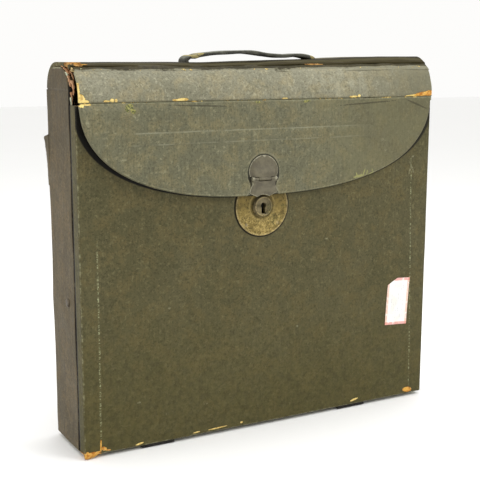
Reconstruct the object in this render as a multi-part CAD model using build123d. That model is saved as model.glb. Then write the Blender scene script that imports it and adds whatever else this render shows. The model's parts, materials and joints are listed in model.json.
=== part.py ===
from build123d import *
import math
import os

# Portfolio case: thin boards wrapped in leathercloth, with a lid, a half-moon flap and a round lock.
# Millimetres. +X to the right, +Y to the back, +Z up. Origin: under the middle of the case, on the
# surface that its two leather foot strips stand on.

os.makedirs("parts", exist_ok=True)

# ---------------------------------------------------------------- overall sizes
case_width = 350.0
case_depth = 68.6
case_height = 323.0
foot_thick = 3.0

# ---------------------------------------------------------------- sheet thicknesses
skin = 0.8
wall_board = 3.2
lid_board_thick = 2.8
flap_board_thick = 1.8
lining_thick = 0.4

# ---------------------------------------------------------------- front frame
rail_width = 15.0
rail_depth = 9.0
cross_rail_height = 12.0
wall_gap = 0.8
nail_radius = 0.8
nail_length = 9.0
nail_pitch = 40.0

# ---------------------------------------------------------------- lid, band and flap
front_radius = 27.0
back_radius = 22.0
side_front_radius = 20.0
seam_angle = 54.6
band_drop = 31.7
crease_height = case_height - band_drop
lid_side_margin = 0.5
flap_side_margin = 2.0
flap_depth = 81.8
flap_low_x = -8.0
flap_left_power = 2.6
flap_right_power = 2.3
flap_clearance = 1.5
rest_gap = 0.3
fold_gap = 0.4
board_fold_gap = 1.6
bar_length = case_width - 112.0
bar_height = 9.5
bar_below_crease = 24.0
bar_centre_x = -11.0
bar_thick = 1.0

# ---------------------------------------------------------------- lock
lock_x = flap_low_x
lock_below_flap = 9.0
lock_height = crease_height - flap_depth - lock_below_flap
lock_plate_radius = 25.9
lock_plate_thick = 0.8
collar_radius = 9.5
collar_front_radius = 8.4
collar_rim = 1.2
collar_dish = 0.6
collar_proud = 3.0
keyhole_round_radius = 2.5
keyhole_slot_width = 3.6
keyhole_length = 9.6
keyhole_drop = 1.6
plate_pin_radius = 0.9
plate_pin_head_radius = 1.5
plate_pin_head = 0.3
plate_pin_circle = 22.0
plate_pin_length = 5.0
lock_case_width = 28.0
lock_case_below = 19.5
lock_case_above = 22.0
lock_case_depth = 9.0
lock_sheet = 0.8
lock_fit = 0.2
bolt_width = 4.4
bolt_thick = 1.4
bolt_play = 0.4
bolt_head_length = 12.5
bolt_body_width = 15.0
bolt_body_height = 16.0
bolt_window = 9.5
lever_thick = 1.0
spring_wire_radius = 0.4

# ---------------------------------------------------------------- hasp
hasp_thick = 1.0
hasp_top_radius = 14.6
hasp_top_height = lock_height + 30.2
hasp_pin_height = lock_height + 24.5
hasp_pin_radius = 0.9
hasp_barrel_radius = 1.8
hasp_pin_play = 0.06
hasp_knuckle_width = 12.0
hasp_ear_width = 5.5
hasp_side_play = 0.3
tongue_flare_width = 28.0
tongue_bottom_height = lock_height + 8.7
tongue_bottom_width = 12.0
tongue_flare_height = lock_height + 12.0
tongue_lift = 0.3
rivet_radius = 1.6
rivet_head = 0.7
rivet_spread = 8.0
staple_width = 7.6
staple_leg = 1.2
staple_tall = 3.5
staple_bottom = lock_height + 14.0
staple_bar = 0.7
staple_travel_up = 3.6
staple_travel_down = 2.9
staple_side_play = 0.5
notch_play = 0.7

# ---------------------------------------------------------------- handle
strap_thick = 3.4
strap_width = 16.0
strap_left_x = -65.0
strap_right_x = 62.0
strap_rise = 9.0
strap_shoulder = 4.6
strap_bend_radius = 3.4
strap_travel = 16.0
strap_slot_play = 0.5
stop_length = 10.0
stop_thick = 3.0
stop_margin = 3.0

# ---------------------------------------------------------------- small fittings
foot_width = 30.0
foot_left_x = 66.5 - case_width / 2
foot_right_x = case_width / 2 - 83.0
foot_proud = 2.6
tack_radius = 1.0
tack_depth = 4.5
stud_radius = 3.6
stud_proud = 1.6
stud_shank_radius = 1.2
stud_y = -4.9
stud_height = 127.4
label_width = 25.5
label_height = 45.5
label_thick = 0.3
label_corner_width = 11.0
label_corner_height = 6.5
label_x = case_width / 2 - 32.4
label_z = 98.3
label_tilt = -3.5
tab_top = case_height - 59.0
tab_bottom = case_height - 102.0
tab_proud = 7.0
gusset_thick = 0.4
gusset_reach = 15.0

# ---------------------------------------------------------------- places worked out from the sizes
half_width = case_width / 2
front_face = -case_depth / 2
back_face = case_depth / 2
board_x = half_width - skin
inner_x = board_x - wall_board
board_front = front_face + skin
front_board_back = board_front + wall_board
rail_back = front_board_back + rail_depth
wall_front = rail_back + wall_gap
board_back = back_face - skin
back_board_front = board_back - wall_board
board_bottom = foot_thick + skin
floor_top = board_bottom + wall_board
lid_thick = skin + lid_board_thick
flap_thick = skin + flap_board_thick
flap_inner = front_face - flap_clearance
flap_outer = flap_inner - flap_thick
hinge_z = case_height - back_radius
front_arc = (flap_outer + front_radius, case_height - front_radius)
back_arc = (back_face - back_radius, hinge_z)
wall_top = case_height - lid_thick - rest_gap
lid_half = half_width - lid_side_margin
flap_half = half_width - flap_side_margin
front_top = crease_height - board_fold_gap
plate_front = front_face - lock_plate_thick
hasp_pin_y = flap_outer - hasp_barrel_radius - 0.1
tongue_back = flap_outer - tongue_lift
bolt_front = front_face + bolt_play
staple_tip = bolt_front + bolt_thick + bolt_play + staple_bar
strap_end_z = case_height - lid_thick - lining_thick - strap_travel - rest_gap


# ---------------------------------------------------------------- drawing helpers
def block(x, y, z):
    """A box between pairs of limits."""
    size = (x[1] - x[0], y[1] - y[0], z[1] - z[0])
    centre = ((x[0] + x[1]) / 2, (y[0] + y[1]) / 2, (z[0] + z[1]) / 2)
    return Pos(*centre) * Box(*size)


def on_side(edges, x):
    """A side-view outline, drawn in (y, z), extruded between two places along X."""
    face = make_face(edges)
    placed = Plane(origin=(x[0], 0, 0), x_dir=(0, 1, 0), z_dir=(1, 0, 0)) * face
    return extrude(placed, amount=x[1] - x[0], dir=(1, 0, 0))


def on_front(face, y):
    """A front-view face, drawn in (x, z), extruded between two places along Y."""
    placed = Plane(origin=(0, y[0], 0), x_dir=(1, 0, 0), z_dir=(0, -1, 0)) * face
    return extrude(placed, amount=y[1] - y[0], dir=(0, 1, 0))


def rod_y(x, z, radius, y):
    """A round rod along Y."""
    return Pos(x, (y[0] + y[1]) / 2, z) * Rot(90, 0, 0) * Cylinder(radius, y[1] - y[0])


def rod_x(y, z, radius, x):
    """A round rod along X."""
    return Pos((x[0] + x[1]) / 2, y, z) * Rot(0, 90, 0) * Cylinder(radius, x[1] - x[0])


def rod_z(x, y, radius, z):
    """A round rod along Z."""
    return Pos(x, y, (z[0] + z[1]) / 2) * Cylinder(radius, z[1] - z[0])


def polar(centre, radius, angle):
    """A point on a circle, by angle in degrees."""
    turn = math.radians(angle)
    return (centre[0] + radius * math.cos(turn), centre[1] + radius * math.sin(turn))


def save(solid, name):
    """One STEP for each node."""
    export_step(solid, f"parts/{name}.step")


# ---------------------------------------------------------------- case walls
def side_outline():
    """Side wall seen from the side: round at the top front, stepped under the lid at the back."""
    lid_inner_radius = back_radius - lid_thick - rest_gap
    top_front = (wall_front + side_front_radius, wall_top - side_front_radius)
    step_y = back_arc[0] + lid_inner_radius
    step_z = hinge_z - fold_gap / 2
    return [
        Line((wall_front, board_bottom), (board_back, board_bottom)),
        Line((board_back, board_bottom), (board_back, step_z)),
        Line((board_back, step_z), (step_y, step_z)),
        Line((step_y, step_z), (step_y, hinge_z)),
        CenterArc(back_arc, lid_inner_radius, 0, 90),
        Line((back_arc[0], wall_top), (top_front[0], wall_top)),
        CenterArc(top_front, side_front_radius, 90, 90),
        Line((wall_front, top_front[1]), (wall_front, board_bottom)),
    ]


def side_board(side):
    """Strawboard side wall; side is -1 for the left and 1 for the right."""
    x = sorted((side * inner_x, side * board_x))
    wall = on_side(side_outline(), x)
    reach = sorted((side * (inner_x - 1), side * (board_x + 1)))
    return wall - rod_x(stud_y, stud_height, stud_shank_radius, reach)


def body_covering():
    """Skin round the back, the bottom and both sides."""
    back = block((-half_width, half_width), (board_back, back_face), (foot_thick, hinge_z - fold_gap / 2))
    base = block((-half_width, half_width), (wall_front, back_face), (foot_thick, board_bottom))
    cover = back + base
    for side in (-1, 1):
        x = sorted((side * board_x, side * half_width))
        cover += on_side(side_outline(), x)
        reach = sorted((side * (board_x - 1), side * (half_width + 1)))
        cover -= rod_x(stud_y, stud_height, stud_shank_radius, reach)
    return cover - foot_tacks()


def back_board():
    limits = ((-inner_x, inner_x), (back_board_front, board_back), (board_bottom, hinge_z - board_fold_gap))
    return block(*limits)


def bottom_board():
    board = block((-inner_x, inner_x), (wall_front, back_board_front), (board_bottom, floor_top))
    return board - foot_tacks()


# ---------------------------------------------------------------- front frame
def lock_hole(y):
    """The rectangular hole that the lock case sits in."""
    x = (lock_x - lock_case_width / 2 - lock_fit, lock_x + lock_case_width / 2 + lock_fit)
    z = (lock_height - lock_case_below - lock_fit, lock_height + lock_case_above + lock_fit)
    return block(x, y, z)


def plate_pins():
    """Four brass pins through the lock plate and the front board."""
    pins = []
    for angle in (45, 135, 225, 315):
        x, z = polar((lock_x, lock_height), plate_pin_circle, angle)
        shank = rod_y(x, z, plate_pin_radius, (plate_front, plate_front + plate_pin_length))
        head = rod_y(x, z, plate_pin_head_radius, (plate_front - plate_pin_head, plate_front))
        pins.append(shank + head)
    return Compound(children=pins)


def front_nails():
    """Nails that hold the front board to its two upright rails."""
    nails = []
    count = int((front_top - board_bottom - nail_pitch / 2) // nail_pitch)
    for side in (-1, 1):
        for step in range(count):
            z = board_bottom + nail_pitch * (step + 0.5)
            x = side * (board_x - rail_width / 2)
            nails.append(rod_y(x, z, nail_radius, (board_front, board_front + nail_length)))
    return Compound(children=nails)


def front_board():
    board = block((-board_x, board_x), (board_front, front_board_back), (board_bottom, front_top))
    return board - lock_hole((board_front - 1, front_board_back + 1)) - plate_pins() - front_nails()


def front_rail(side):
    """Upright rail behind the front board, along its left or right edge."""
    x = sorted((side * (board_x - rail_width), side * board_x))
    return block(x, (front_board_back, rail_back), (board_bottom, front_top)) - front_nails()


def cross_rail(z):
    x = board_x - rail_width
    return block((-x, x), (front_board_back, rail_back), z) - foot_tacks()


def front_covering():
    """Skin over the front board, round the sides and the foot of the front frame."""
    face = block((-half_width, half_width), (front_face, board_front), (foot_thick, front_top))
    cover = face
    for side in (-1, 1):
        x = sorted((side * board_x, side * half_width))
        cover += block(x, (front_face, rail_back), (foot_thick, front_top))
    cover += block((-half_width, half_width), (front_face, rail_back), (foot_thick, board_bottom))
    return cover - lock_hole((front_face - 1, board_front + 1)) - plate_pins() - foot_tacks()


def gusset(side):
    """Cloth strip inside that joins an upright rail to the side wall."""
    rail_edge = board_x - rail_width
    x_rail = sorted((side * rail_edge, side * inner_x))
    x_wall = sorted((side * (inner_x - gusset_thick), side * inner_x))
    on_rail = block(x_rail, (rail_back, rail_back + gusset_thick), (floor_top, front_top))
    y = (rail_back, wall_front + gusset_reach)
    on_wall = block(x_wall, y, (floor_top, front_top - side_front_radius))
    return on_rail + on_wall


# ---------------------------------------------------------------- lid and band
def lid_section(outside, inside, gap):
    """Lid profile between two depths under its outer face, ending gap/2 short of both folds."""
    def lay(depth):
        back_r = back_radius - depth
        front_r = front_radius - depth
        back_start = math.degrees(gap / 2 / back_r)
        front_end = 180 - seam_angle - math.degrees(gap / 2 / front_r)
        return back_r, front_r, back_start, front_end

    out_back, out_front, out_start, out_end = lay(outside)
    in_back, in_front, in_start, in_end = lay(inside)
    top_out = case_height - outside
    top_in = case_height - inside
    return [
        CenterArc(back_arc, out_back, out_start, 90 - out_start),
        Line((back_arc[0], top_out), (front_arc[0], top_out)),
        CenterArc(front_arc, out_front, 90, out_end - 90),
        Line(polar(front_arc, out_front, out_end), polar(front_arc, in_front, in_end)),
        CenterArc(front_arc, in_front, 90, in_end - 90),
        Line((front_arc[0], top_in), (back_arc[0], top_in)),
        CenterArc(back_arc, in_back, in_start, 90 - in_start),
        Line(polar(back_arc, in_back, in_start), polar(back_arc, out_back, out_start)),
    ]


def strap_slots():
    """The two slots in the lid that the strap's ends pass through."""
    half = strap_thick / 2 + strap_slot_play
    wide = strap_width / 2 + strap_slot_play
    slots = []
    for x in (strap_left_x, strap_right_x):
        slots.append(block((x - half, x + half), (-wide, wide), (wall_top - 5, case_height + 1)))
    return slots[0] + slots[1]


def lid_covering():
    return on_side(lid_section(0, skin, fold_gap), (-lid_half, lid_half)) - strap_slots()


def lid_board():
    board_half = lid_half - skin
    return on_side(lid_section(skin, lid_thick, board_fold_gap), (-board_half, board_half)) - strap_slots()


def band_section(outside, inside, gap):
    """Band profile: straight up from the crease, then round to the seam."""
    out_r = front_radius - outside
    in_r = front_radius - inside
    out_start = 180 - seam_angle + math.degrees(gap / 2 / out_r)
    in_start = 180 - seam_angle + math.degrees(gap / 2 / in_r)
    out_y = flap_outer + outside
    in_y = flap_outer + inside
    low = crease_height + gap / 2
    return [
        CenterArc(front_arc, out_r, out_start, 180 - out_start),
        Line((out_y, front_arc[1]), (out_y, low)),
        Line((out_y, low), (in_y, low)),
        Line((in_y, low), (in_y, front_arc[1])),
        CenterArc(front_arc, in_r, in_start, 180 - in_start),
        Line(polar(front_arc, in_r, in_start), polar(front_arc, out_r, out_start)),
    ]


def band_covering():
    return on_side(band_section(0, skin, fold_gap), (-flap_half, flap_half))


def band_board():
    board_half = flap_half - skin
    return on_side(band_section(skin, flap_thick, board_fold_gap), (-board_half, board_half))


# ---------------------------------------------------------------- half-moon flap
def flap_outline(inset, top):
    """Half-moon below the crease: two quarter superellipses that meet at the lowest point."""
    depth = flap_depth - inset
    left_half = flap_low_x + flap_half - inset
    right_half = flap_half - flap_low_x - inset
    steps = 9

    def quarter(half, power, direction):
        points = []
        for step in range(steps + 1):
            turn = math.pi / 2 * step / steps
            across = half * math.sin(turn) ** (2 / power)
            down = depth * math.cos(turn) ** (2 / power)
            points.append((flap_low_x + direction * across, crease_height - max(down, top)))
        return points

    left = quarter(left_half, flap_left_power, -1)
    right = quarter(right_half, flap_right_power, 1)
    across_top = Line(left[-1], right[-1])
    return make_face([across_top, Spline(left), Spline(right)])


def staple_notch():
    """Notch in the flap's lowest edge, behind the tongue, that the staple passes through."""
    half = staple_width / 2 + notch_play
    z = (crease_height - flap_depth - 1, staple_bottom + staple_tall + notch_play)
    return block((lock_x - half, lock_x + half), (flap_outer - 1, flap_inner + 1), z)


def flap_covering():
    moon = on_front(flap_outline(0, fold_gap / 2), (flap_outer, flap_outer + skin))
    return moon - staple_notch() - hasp_rivets()


def stiffener_bar():
    """Stiff strip let into the board just under the covering, with one rounded end."""
    z = crease_height - bar_below_crease - bar_height / 2
    left = bar_centre_x - bar_length / 2 + bar_height / 2
    right = bar_centre_x + bar_length / 2
    y = (flap_outer + skin, flap_outer + skin + bar_thick)
    strip = block((left, right), y, (z - bar_height / 2, z + bar_height / 2))
    return strip + rod_y(left, z, bar_height / 2, y)


def flap_board():
    moon = on_front(flap_outline(skin, board_fold_gap / 2), (flap_outer + skin, flap_inner))
    return moon - staple_notch() - stiffener_bar() - hasp_rivets()


# ---------------------------------------------------------------- hasp
def knuckle(x):
    """One knuckle of the hasp hinge, before its hole."""
    return rod_x(hasp_pin_y, hasp_pin_height, hasp_barrel_radius, x)


def hasp_base():
    """Round-topped plate riveted to the flap, with the middle knuckle of the hinge."""
    y = (flap_outer - hasp_thick, flap_outer)
    half = hasp_knuckle_width / 2
    plate = rod_y(lock_x, hasp_top_height, hasp_top_radius, y)
    plate += block((lock_x - half, lock_x + half), y, (hasp_pin_height, hasp_top_height))
    slot = hasp_ear_width + hasp_side_play + 4
    for side in (-1, 1):
        x = sorted((lock_x + side * half, lock_x + side * (half + slot)))
        low = hasp_pin_height + hasp_barrel_radius + hasp_side_play
        plate -= block(x, (y[0] - 1, y[1] + 1), (0, low))
    body = plate + knuckle((lock_x - half, lock_x + half))
    body -= rod_x(hasp_pin_y, hasp_pin_height, hasp_pin_radius, (lock_x - 20, lock_x + 20))
    clear = block((lock_x - 20, lock_x + 20), y, (0, hasp_pin_height - hasp_barrel_radius))
    return body - clear - hasp_rivets()


def hasp_rivets():
    """Two rivets through the hasp plate and the flap."""
    rivets = []
    for side in (-1, 1):
        x = lock_x + side * rivet_spread / 2
        shank = rod_y(x, hasp_top_height + 2, rivet_radius / 2, (flap_outer - hasp_thick, flap_inner))
        y = (flap_outer - hasp_thick - rivet_head, flap_outer - hasp_thick)
        rivets.append(shank + rod_y(x, hasp_top_height + 2, rivet_radius, y))
    return Compound(children=rivets)


def hasp_pin():
    reach = hasp_knuckle_width / 2 + hasp_side_play + hasp_ear_width
    return rod_x(hasp_pin_y, hasp_pin_height, hasp_pin_radius, (lock_x - reach, lock_x + reach))


def hasp_tongue():
    """Flared tongue with two ears on the pin and a hollow lower edge round the lock's collar."""
    inner = hasp_knuckle_width / 2 + hasp_side_play
    outer = inner + hasp_ear_width
    waist = hasp_pin_height - hasp_barrel_radius - hasp_side_play
    flare = tongue_flare_width / 2
    left = [
        (lock_x - outer, waist),
        (lock_x - flare, tongue_flare_height),
        (lock_x - tongue_bottom_width / 2, tongue_bottom_height),
    ]
    right = [(2 * lock_x - x, z) for x, z in reversed(left)]
    y = (tongue_back - hasp_thick, tongue_back)
    plate = on_front(make_face(Polyline(*left, *right, close=True)), y)
    collar_play = 1.0
    plate -= rod_y(lock_x, lock_height, collar_radius + collar_play, (y[0] - 1, y[1] + 1))
    tongue = plate
    for side in (-1, 1):
        x = sorted((lock_x + side * inner, lock_x + side * outer))
        arm = block(x, (hasp_pin_y, tongue_back), (waist - 0.5, hasp_pin_height))
        ear = knuckle(x) + (arm - block(x, (tongue_back, 0), (0, case_height)))
        tongue += ear
    hole = hasp_pin_radius + hasp_pin_play
    return tongue - rod_x(hasp_pin_y, hasp_pin_height, hole, (lock_x - 20, lock_x + 20))


def hasp_staple():
    """U-shaped staple behind the tongue; the bolt rises through it behind the lock plate."""
    half = staple_width / 2
    z = (staple_bottom, staple_bottom + staple_tall)
    loop = block((lock_x - half, lock_x + half), (tongue_back, staple_tip), z)
    gap = half - staple_leg
    return loop - block((lock_x - gap, lock_x + gap), (tongue_back + 1.2, staple_tip - staple_bar), z)


# ---------------------------------------------------------------- lock
def keyhole(y):
    """Keyhole: a round top over a straight slot."""
    middle = lock_height - keyhole_drop
    top = middle + keyhole_length / 2 - keyhole_round_radius
    half = keyhole_slot_width / 2
    slot = block((lock_x - half, lock_x + half), y, (middle - keyhole_length / 2, top))
    return slot + rod_y(lock_x, top, keyhole_round_radius, y)


def staple_slot(y):
    half = staple_width / 2 + staple_side_play
    z = (staple_bottom - staple_travel_down, staple_bottom + staple_tall + staple_travel_up)
    return block((lock_x - half, lock_x + half), y, z)


def lock_plate():
    y = (plate_front, front_face)
    through = (plate_front - 1, front_face + 1)
    plate = rod_y(lock_x, lock_height, lock_plate_radius, y)
    return plate - keyhole(through) - staple_slot(through) - plate_pins()


def lock_collar():
    """Raised tapered collar with a narrow rim and the keyhole through its floor."""
    y = (plate_front - collar_proud, plate_front)
    middle = Pos(lock_x, (y[0] + y[1]) / 2, lock_height) * Rot(90, 0, 0)
    rim = middle * Cone(collar_radius, collar_front_radius, collar_proud)
    dish = rod_y(lock_x, lock_height, collar_front_radius - collar_rim, (y[0] - 1, y[0] + collar_dish))
    return rim - dish - keyhole((y[0] - 1, y[1] + 1))


def lock_case():
    """Steel tray let into the front board behind the plate."""
    x = (lock_x - lock_case_width / 2, lock_x + lock_case_width / 2)
    z = (lock_height - lock_case_below, lock_height + lock_case_above)
    y = (front_face, front_face + lock_case_depth)
    inner = block(
        (x[0] + lock_sheet, x[1] - lock_sheet),
        (y[0] - 1, y[1] - lock_sheet),
        (z[0] + lock_sheet, z[1] - lock_sheet),
    )
    return block(x, y, z) - inner


def bolt_top():
    return staple_bottom - 1.0


def lock_bolt():
    """Flat bolt with a narrow head; its window goes round the key's path."""
    y = (bolt_front, bolt_front + bolt_thick)
    neck = bolt_top() - bolt_head_length
    head = block((lock_x - bolt_width / 2, lock_x + bolt_width / 2), y, (neck, bolt_top()))
    half = bolt_body_width / 2
    body = block((lock_x - half, lock_x + half), y, (neck - bolt_body_height, neck))
    window = bolt_window / 2
    middle = neck - bolt_body_height / 2
    cut = block(
        (lock_x - window, lock_x + window),
        (y[0] - 1, y[1] + 1),
        (middle - window, middle + window),
    )
    return head + body - cut


def lock_lever():
    """Lever plate behind the bolt, on its own stud."""
    y0 = bolt_front + bolt_thick + bolt_play
    y = (y0, y0 + lever_thick)
    left = lock_x - lock_case_width / 2 + lock_sheet + 1
    z = (lock_height - lock_case_below + lock_sheet + 1.5, lock_height + 4)
    lever = block((left, left + 7), y, z) + block((left, left + 17), y, (z[0], z[0] + 3))
    return lever + rod_y(left + 3, z[1] - 3, 1.5, (y0, front_face + lock_case_depth - lock_sheet))


def lock_spring():
    """Bent wire spring that bears on the lever."""
    y = bolt_front + bolt_thick + bolt_play + lever_thick + 1.4
    x = lock_x + 4
    z = lock_height - lock_case_below + lock_sheet + 2
    leg = rod_z(x, y, spring_wire_radius, (z, z + 22))
    return leg + Pos(x, y, z + 22) * Sphere(spring_wire_radius * 1.6)


# ---------------------------------------------------------------- handle
def handle_strap():
    """Leather strap: a low arch over the lid, its ends down through the slots."""
    shoulder = case_height + strap_shoulder
    crown = case_height + strap_rise
    span = strap_right_x - strap_left_x
    path = FilletPolyline(
        (strap_left_x, strap_end_z),
        (strap_left_x, shoulder),
        (strap_left_x + span * 0.3, crown),
        (strap_left_x + span * 0.65, crown),
        (strap_right_x, shoulder),
        (strap_right_x, strap_end_z),
        radius=[strap_bend_radius, strap_bend_radius * 8, strap_bend_radius * 8, strap_bend_radius],
    )
    face = trace(path, line_width=strap_thick)
    return on_front(face, (-strap_width / 2, strap_width / 2))


def handle_stops():
    """Blocks on the strap's ends, inside the lid, that stop it being pulled out."""
    half = strap_width / 2 + stop_margin
    stops = []
    for x in (strap_left_x, strap_right_x):
        limits = (x - stop_length / 2, x + stop_length / 2)
        stops.append(block(limits, (-half, half), (strap_end_z - stop_thick, strap_end_z)))
    return Compound(children=stops)


# ---------------------------------------------------------------- small fittings
def tack_rods(z):
    """Rods at the places of the foot strips' tacks."""
    rods = []
    for x in (foot_left_x, foot_right_x):
        for y in (rail_back - rail_depth / 2, 0, back_face - rail_depth):
            rods.append(rod_z(x, y, tack_radius, z))
    return Compound(children=rods)


def foot_tacks():
    """Tacks up through the foot strips into the bottom."""
    return tack_rods((foot_thick / 3, foot_thick / 3 + tack_depth))


def foot_strip(x):
    """Leather strip across the bottom, its front end standing a little proud of the front."""
    limits = (x - foot_width / 2, x + foot_width / 2)
    strip = block(limits, (front_face - foot_proud, back_face), (0, foot_thick))
    return strip - tack_rods((-1, foot_thick + 1))


def side_stud(side):
    """Round-edged stud on a side wall."""
    face = side * half_width
    shank = rod_x(stud_y, stud_height, stud_shank_radius, sorted((side * inner_x, face)))
    cap = rod_x(stud_y, stud_height, stud_radius, sorted((face, face + side * stud_proud)))
    rim = cap.edges().filter_by(GeomType.CIRCLE).sort_by(Axis.X)[-1 if side > 0 else 0]
    return shank + fillet(rim, stud_proud * 0.8)


def paper_label():
    """Paper label with one cut corner, pasted askew."""
    half_w = label_width / 2
    half_h = label_height / 2
    outline = Polyline(
        (-half_w, -half_h),
        (half_w, -half_h),
        (half_w, half_h),
        (-half_w + label_corner_width, half_h),
        (-half_w, half_h - label_corner_height),
        close=True,
    )
    face = Pos(label_x, label_z) * Rot(0, 0, label_tilt) * make_face(outline)
    return on_front(face, (front_face - label_thick, front_face))


def torn_tab():
    """A torn end of covering that stands out behind the back left edge."""
    outline = Polyline(
        (back_face, tab_bottom),
        (back_face + tab_proud * 0.8, tab_bottom + (tab_top - tab_bottom) * 0.45),
        (back_face + tab_proud, tab_top),
        (back_face, tab_top),
        close=True,
    )
    return on_side(outline, (-half_width, -board_x))


def back_lining():
    x = inner_x - gusset_thick
    y = (back_board_front - lining_thick, back_board_front)
    return block((-x, x), y, (floor_top, hinge_z - board_fold_gap))


def lid_lining():
    top = case_height - lid_thick
    x = inner_x - gusset_thick - rest_gap
    sheet = block((-x, x), (front_arc[0], back_arc[0]), (top - lining_thick, top))
    return sheet - strap_slots()


# ---------------------------------------------------------------- the nodes
save(back_board(), "back_board")
save(side_board(-1), "left_side_board")
save(side_board(1), "right_side_board")
save(bottom_board(), "bottom_board")
save(body_covering(), "body_covering")
save(front_board(), "front_board")
save(front_rail(-1), "front_left_rail")
save(front_rail(1), "front_right_rail")
save(cross_rail((board_bottom, board_bottom + cross_rail_height)), "front_bottom_rail")
save(cross_rail((front_top - cross_rail_height, front_top)), "front_top_rail")
save(front_covering(), "front_covering")
save(front_nails(), "front_nails")
save(gusset(-1), "left_gusset")
save(gusset(1), "right_gusset")
save(back_lining(), "back_lining")
save(foot_strip(foot_left_x), "left_foot_strip")
save(foot_strip(foot_right_x), "right_foot_strip")
save(foot_tacks(), "foot_tacks")
save(side_stud(-1), "left_side_stud")
save(side_stud(1), "right_side_stud")
save(paper_label(), "paper_label")
save(torn_tab(), "torn_tab")
save(lock_plate(), "lock_plate")
save(lock_collar(), "lock_collar")
save(plate_pins(), "lock_plate_pins")
save(lock_case(), "lock_case")
save(lock_lever(), "lock_lever")
save(lock_spring(), "lock_spring")
save(lock_bolt(), "lock_bolt")
save(lid_board(), "lid_board")
save(lid_covering(), "lid_covering")
save(lid_lining(), "lid_lining")
save(handle_strap(), "handle_strap")
save(handle_stops(), "handle_stops")
save(band_board(), "band_board")
save(band_covering(), "band_covering")
save(flap_board(), "flap_board")
save(flap_covering(), "flap_covering")
save(stiffener_bar(), "stiffener_bar")
save(hasp_base(), "hasp_base")
save(hasp_rivets(), "hasp_rivets")
save(hasp_pin(), "hasp_pin")
save(hasp_tongue(), "hasp_tongue")
save(hasp_staple(), "hasp_staple")
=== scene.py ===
import json
import math

import bmesh
import bpy
import numpy as np
from mathutils import Matrix, Vector


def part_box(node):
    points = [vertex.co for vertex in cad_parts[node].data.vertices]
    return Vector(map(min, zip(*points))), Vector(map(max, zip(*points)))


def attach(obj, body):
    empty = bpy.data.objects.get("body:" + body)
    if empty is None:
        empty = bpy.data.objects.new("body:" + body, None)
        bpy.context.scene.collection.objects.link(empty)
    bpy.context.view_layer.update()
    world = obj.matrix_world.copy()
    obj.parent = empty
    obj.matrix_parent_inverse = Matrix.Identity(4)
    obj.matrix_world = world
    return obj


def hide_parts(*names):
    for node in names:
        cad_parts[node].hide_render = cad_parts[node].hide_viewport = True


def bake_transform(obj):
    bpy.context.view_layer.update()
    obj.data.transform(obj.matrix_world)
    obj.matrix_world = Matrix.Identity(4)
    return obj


# Worn portfolio case in olive leathercloth over strawboard. Metres, in the frame of the CAD model:
# +X to the right, +Y to the back, +Z up, the floor at z = 0.

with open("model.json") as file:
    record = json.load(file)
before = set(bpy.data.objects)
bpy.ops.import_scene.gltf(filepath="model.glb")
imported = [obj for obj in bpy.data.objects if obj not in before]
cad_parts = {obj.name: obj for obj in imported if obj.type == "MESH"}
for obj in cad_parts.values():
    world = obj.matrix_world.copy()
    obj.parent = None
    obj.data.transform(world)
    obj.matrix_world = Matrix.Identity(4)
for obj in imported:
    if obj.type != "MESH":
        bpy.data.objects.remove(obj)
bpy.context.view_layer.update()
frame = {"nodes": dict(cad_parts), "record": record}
JOINTS = {joint["name"]: joint for joint in frame["record"]["behaviour"]["joints"]}
MM = 0.001

# ---------------------------------------------------------------- places read from the frame
CASE_LOW, CASE_HIGH = (Vector(corner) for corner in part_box("body_covering"))
FRONT_LOW, FRONT_HIGH = (Vector(corner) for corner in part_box("front_covering"))
LID_LOW, LID_HIGH = (Vector(corner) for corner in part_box("lid_covering"))
FLAP_LOW, FLAP_HIGH = (Vector(corner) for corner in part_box("flap_covering"))
LOCK_LOW, LOCK_HIGH = (Vector(corner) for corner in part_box("lock_plate"))
HASP_LOW, HASP_HIGH = (Vector(corner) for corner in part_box("hasp_base"))
PIN_LOW, PIN_HIGH = (Vector(corner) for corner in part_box("hasp_pin"))
TONGUE_LOW, TONGUE_HIGH = (Vector(corner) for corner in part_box("hasp_tongue"))
BAR_LOW, BAR_HIGH = (Vector(corner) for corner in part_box("stiffener_bar"))
HASP_R = (HASP_HIGH.x - HASP_LOW.x) / 2
HASP_X = (HASP_LOW.x + HASP_HIGH.x) / 2
HASP_Z = HASP_HIGH.z - HASP_R
PLATE_R = (LOCK_HIGH.x - LOCK_LOW.x) / 2
HASP_SHIFT = -1.0 * MM
HINGE = Vector(JOINTS["lid_lift"]["pos_m"])
SEAM = Vector(JOINTS["band_fold"]["pos_m"])
CREASE = Vector(JOINTS["flap_fold"]["pos_m"])
HALF_WIDTH = CASE_HIGH.x
FRONT_Y = FRONT_LOW.y
RAIL_Y = FRONT_HIGH.y
BACK_Y = CASE_HIGH.y
BASE_Z = CASE_LOW.z
TOP_Z = LID_HIGH.z
LOCK_X = (LOCK_LOW.x + LOCK_HIGH.x) / 2
LOCK_Z = (LOCK_LOW.z + LOCK_HIGH.z) / 2
BACK_RADIUS = TOP_Z - HINGE.z
FRONT_RADIUS = 27.0 * MM
SIDE_RADIUS = 20.0 * MM
SKIN = 0.6 * MM
FLAP_DEEP_Z = CREASE.z - FLAP_LOW.z - 1.8 * MM
FLAP_LEFT_POWER = 2.38
FLAP_RIGHT_POWER = 2.38
FLAP_THICK = 1.3 * MM
LID_THICK = 3.4 * MM
BAND_THICK = 2.4 * MM
EDGE_ROUND = 1.1 * MM
WALL_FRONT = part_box("left_side_board")[0][1]
WALL_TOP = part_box("left_side_board")[1][2]


# ---------------------------------------------------------------- numbers
def smooth(value, low, high):
    """0 below low, 1 above high, smooth between; low may be the larger."""
    t = np.clip((np.asarray(value, float) - low) / (high - low), 0, 1)
    return t * t * (3 - 2 * t)


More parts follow.
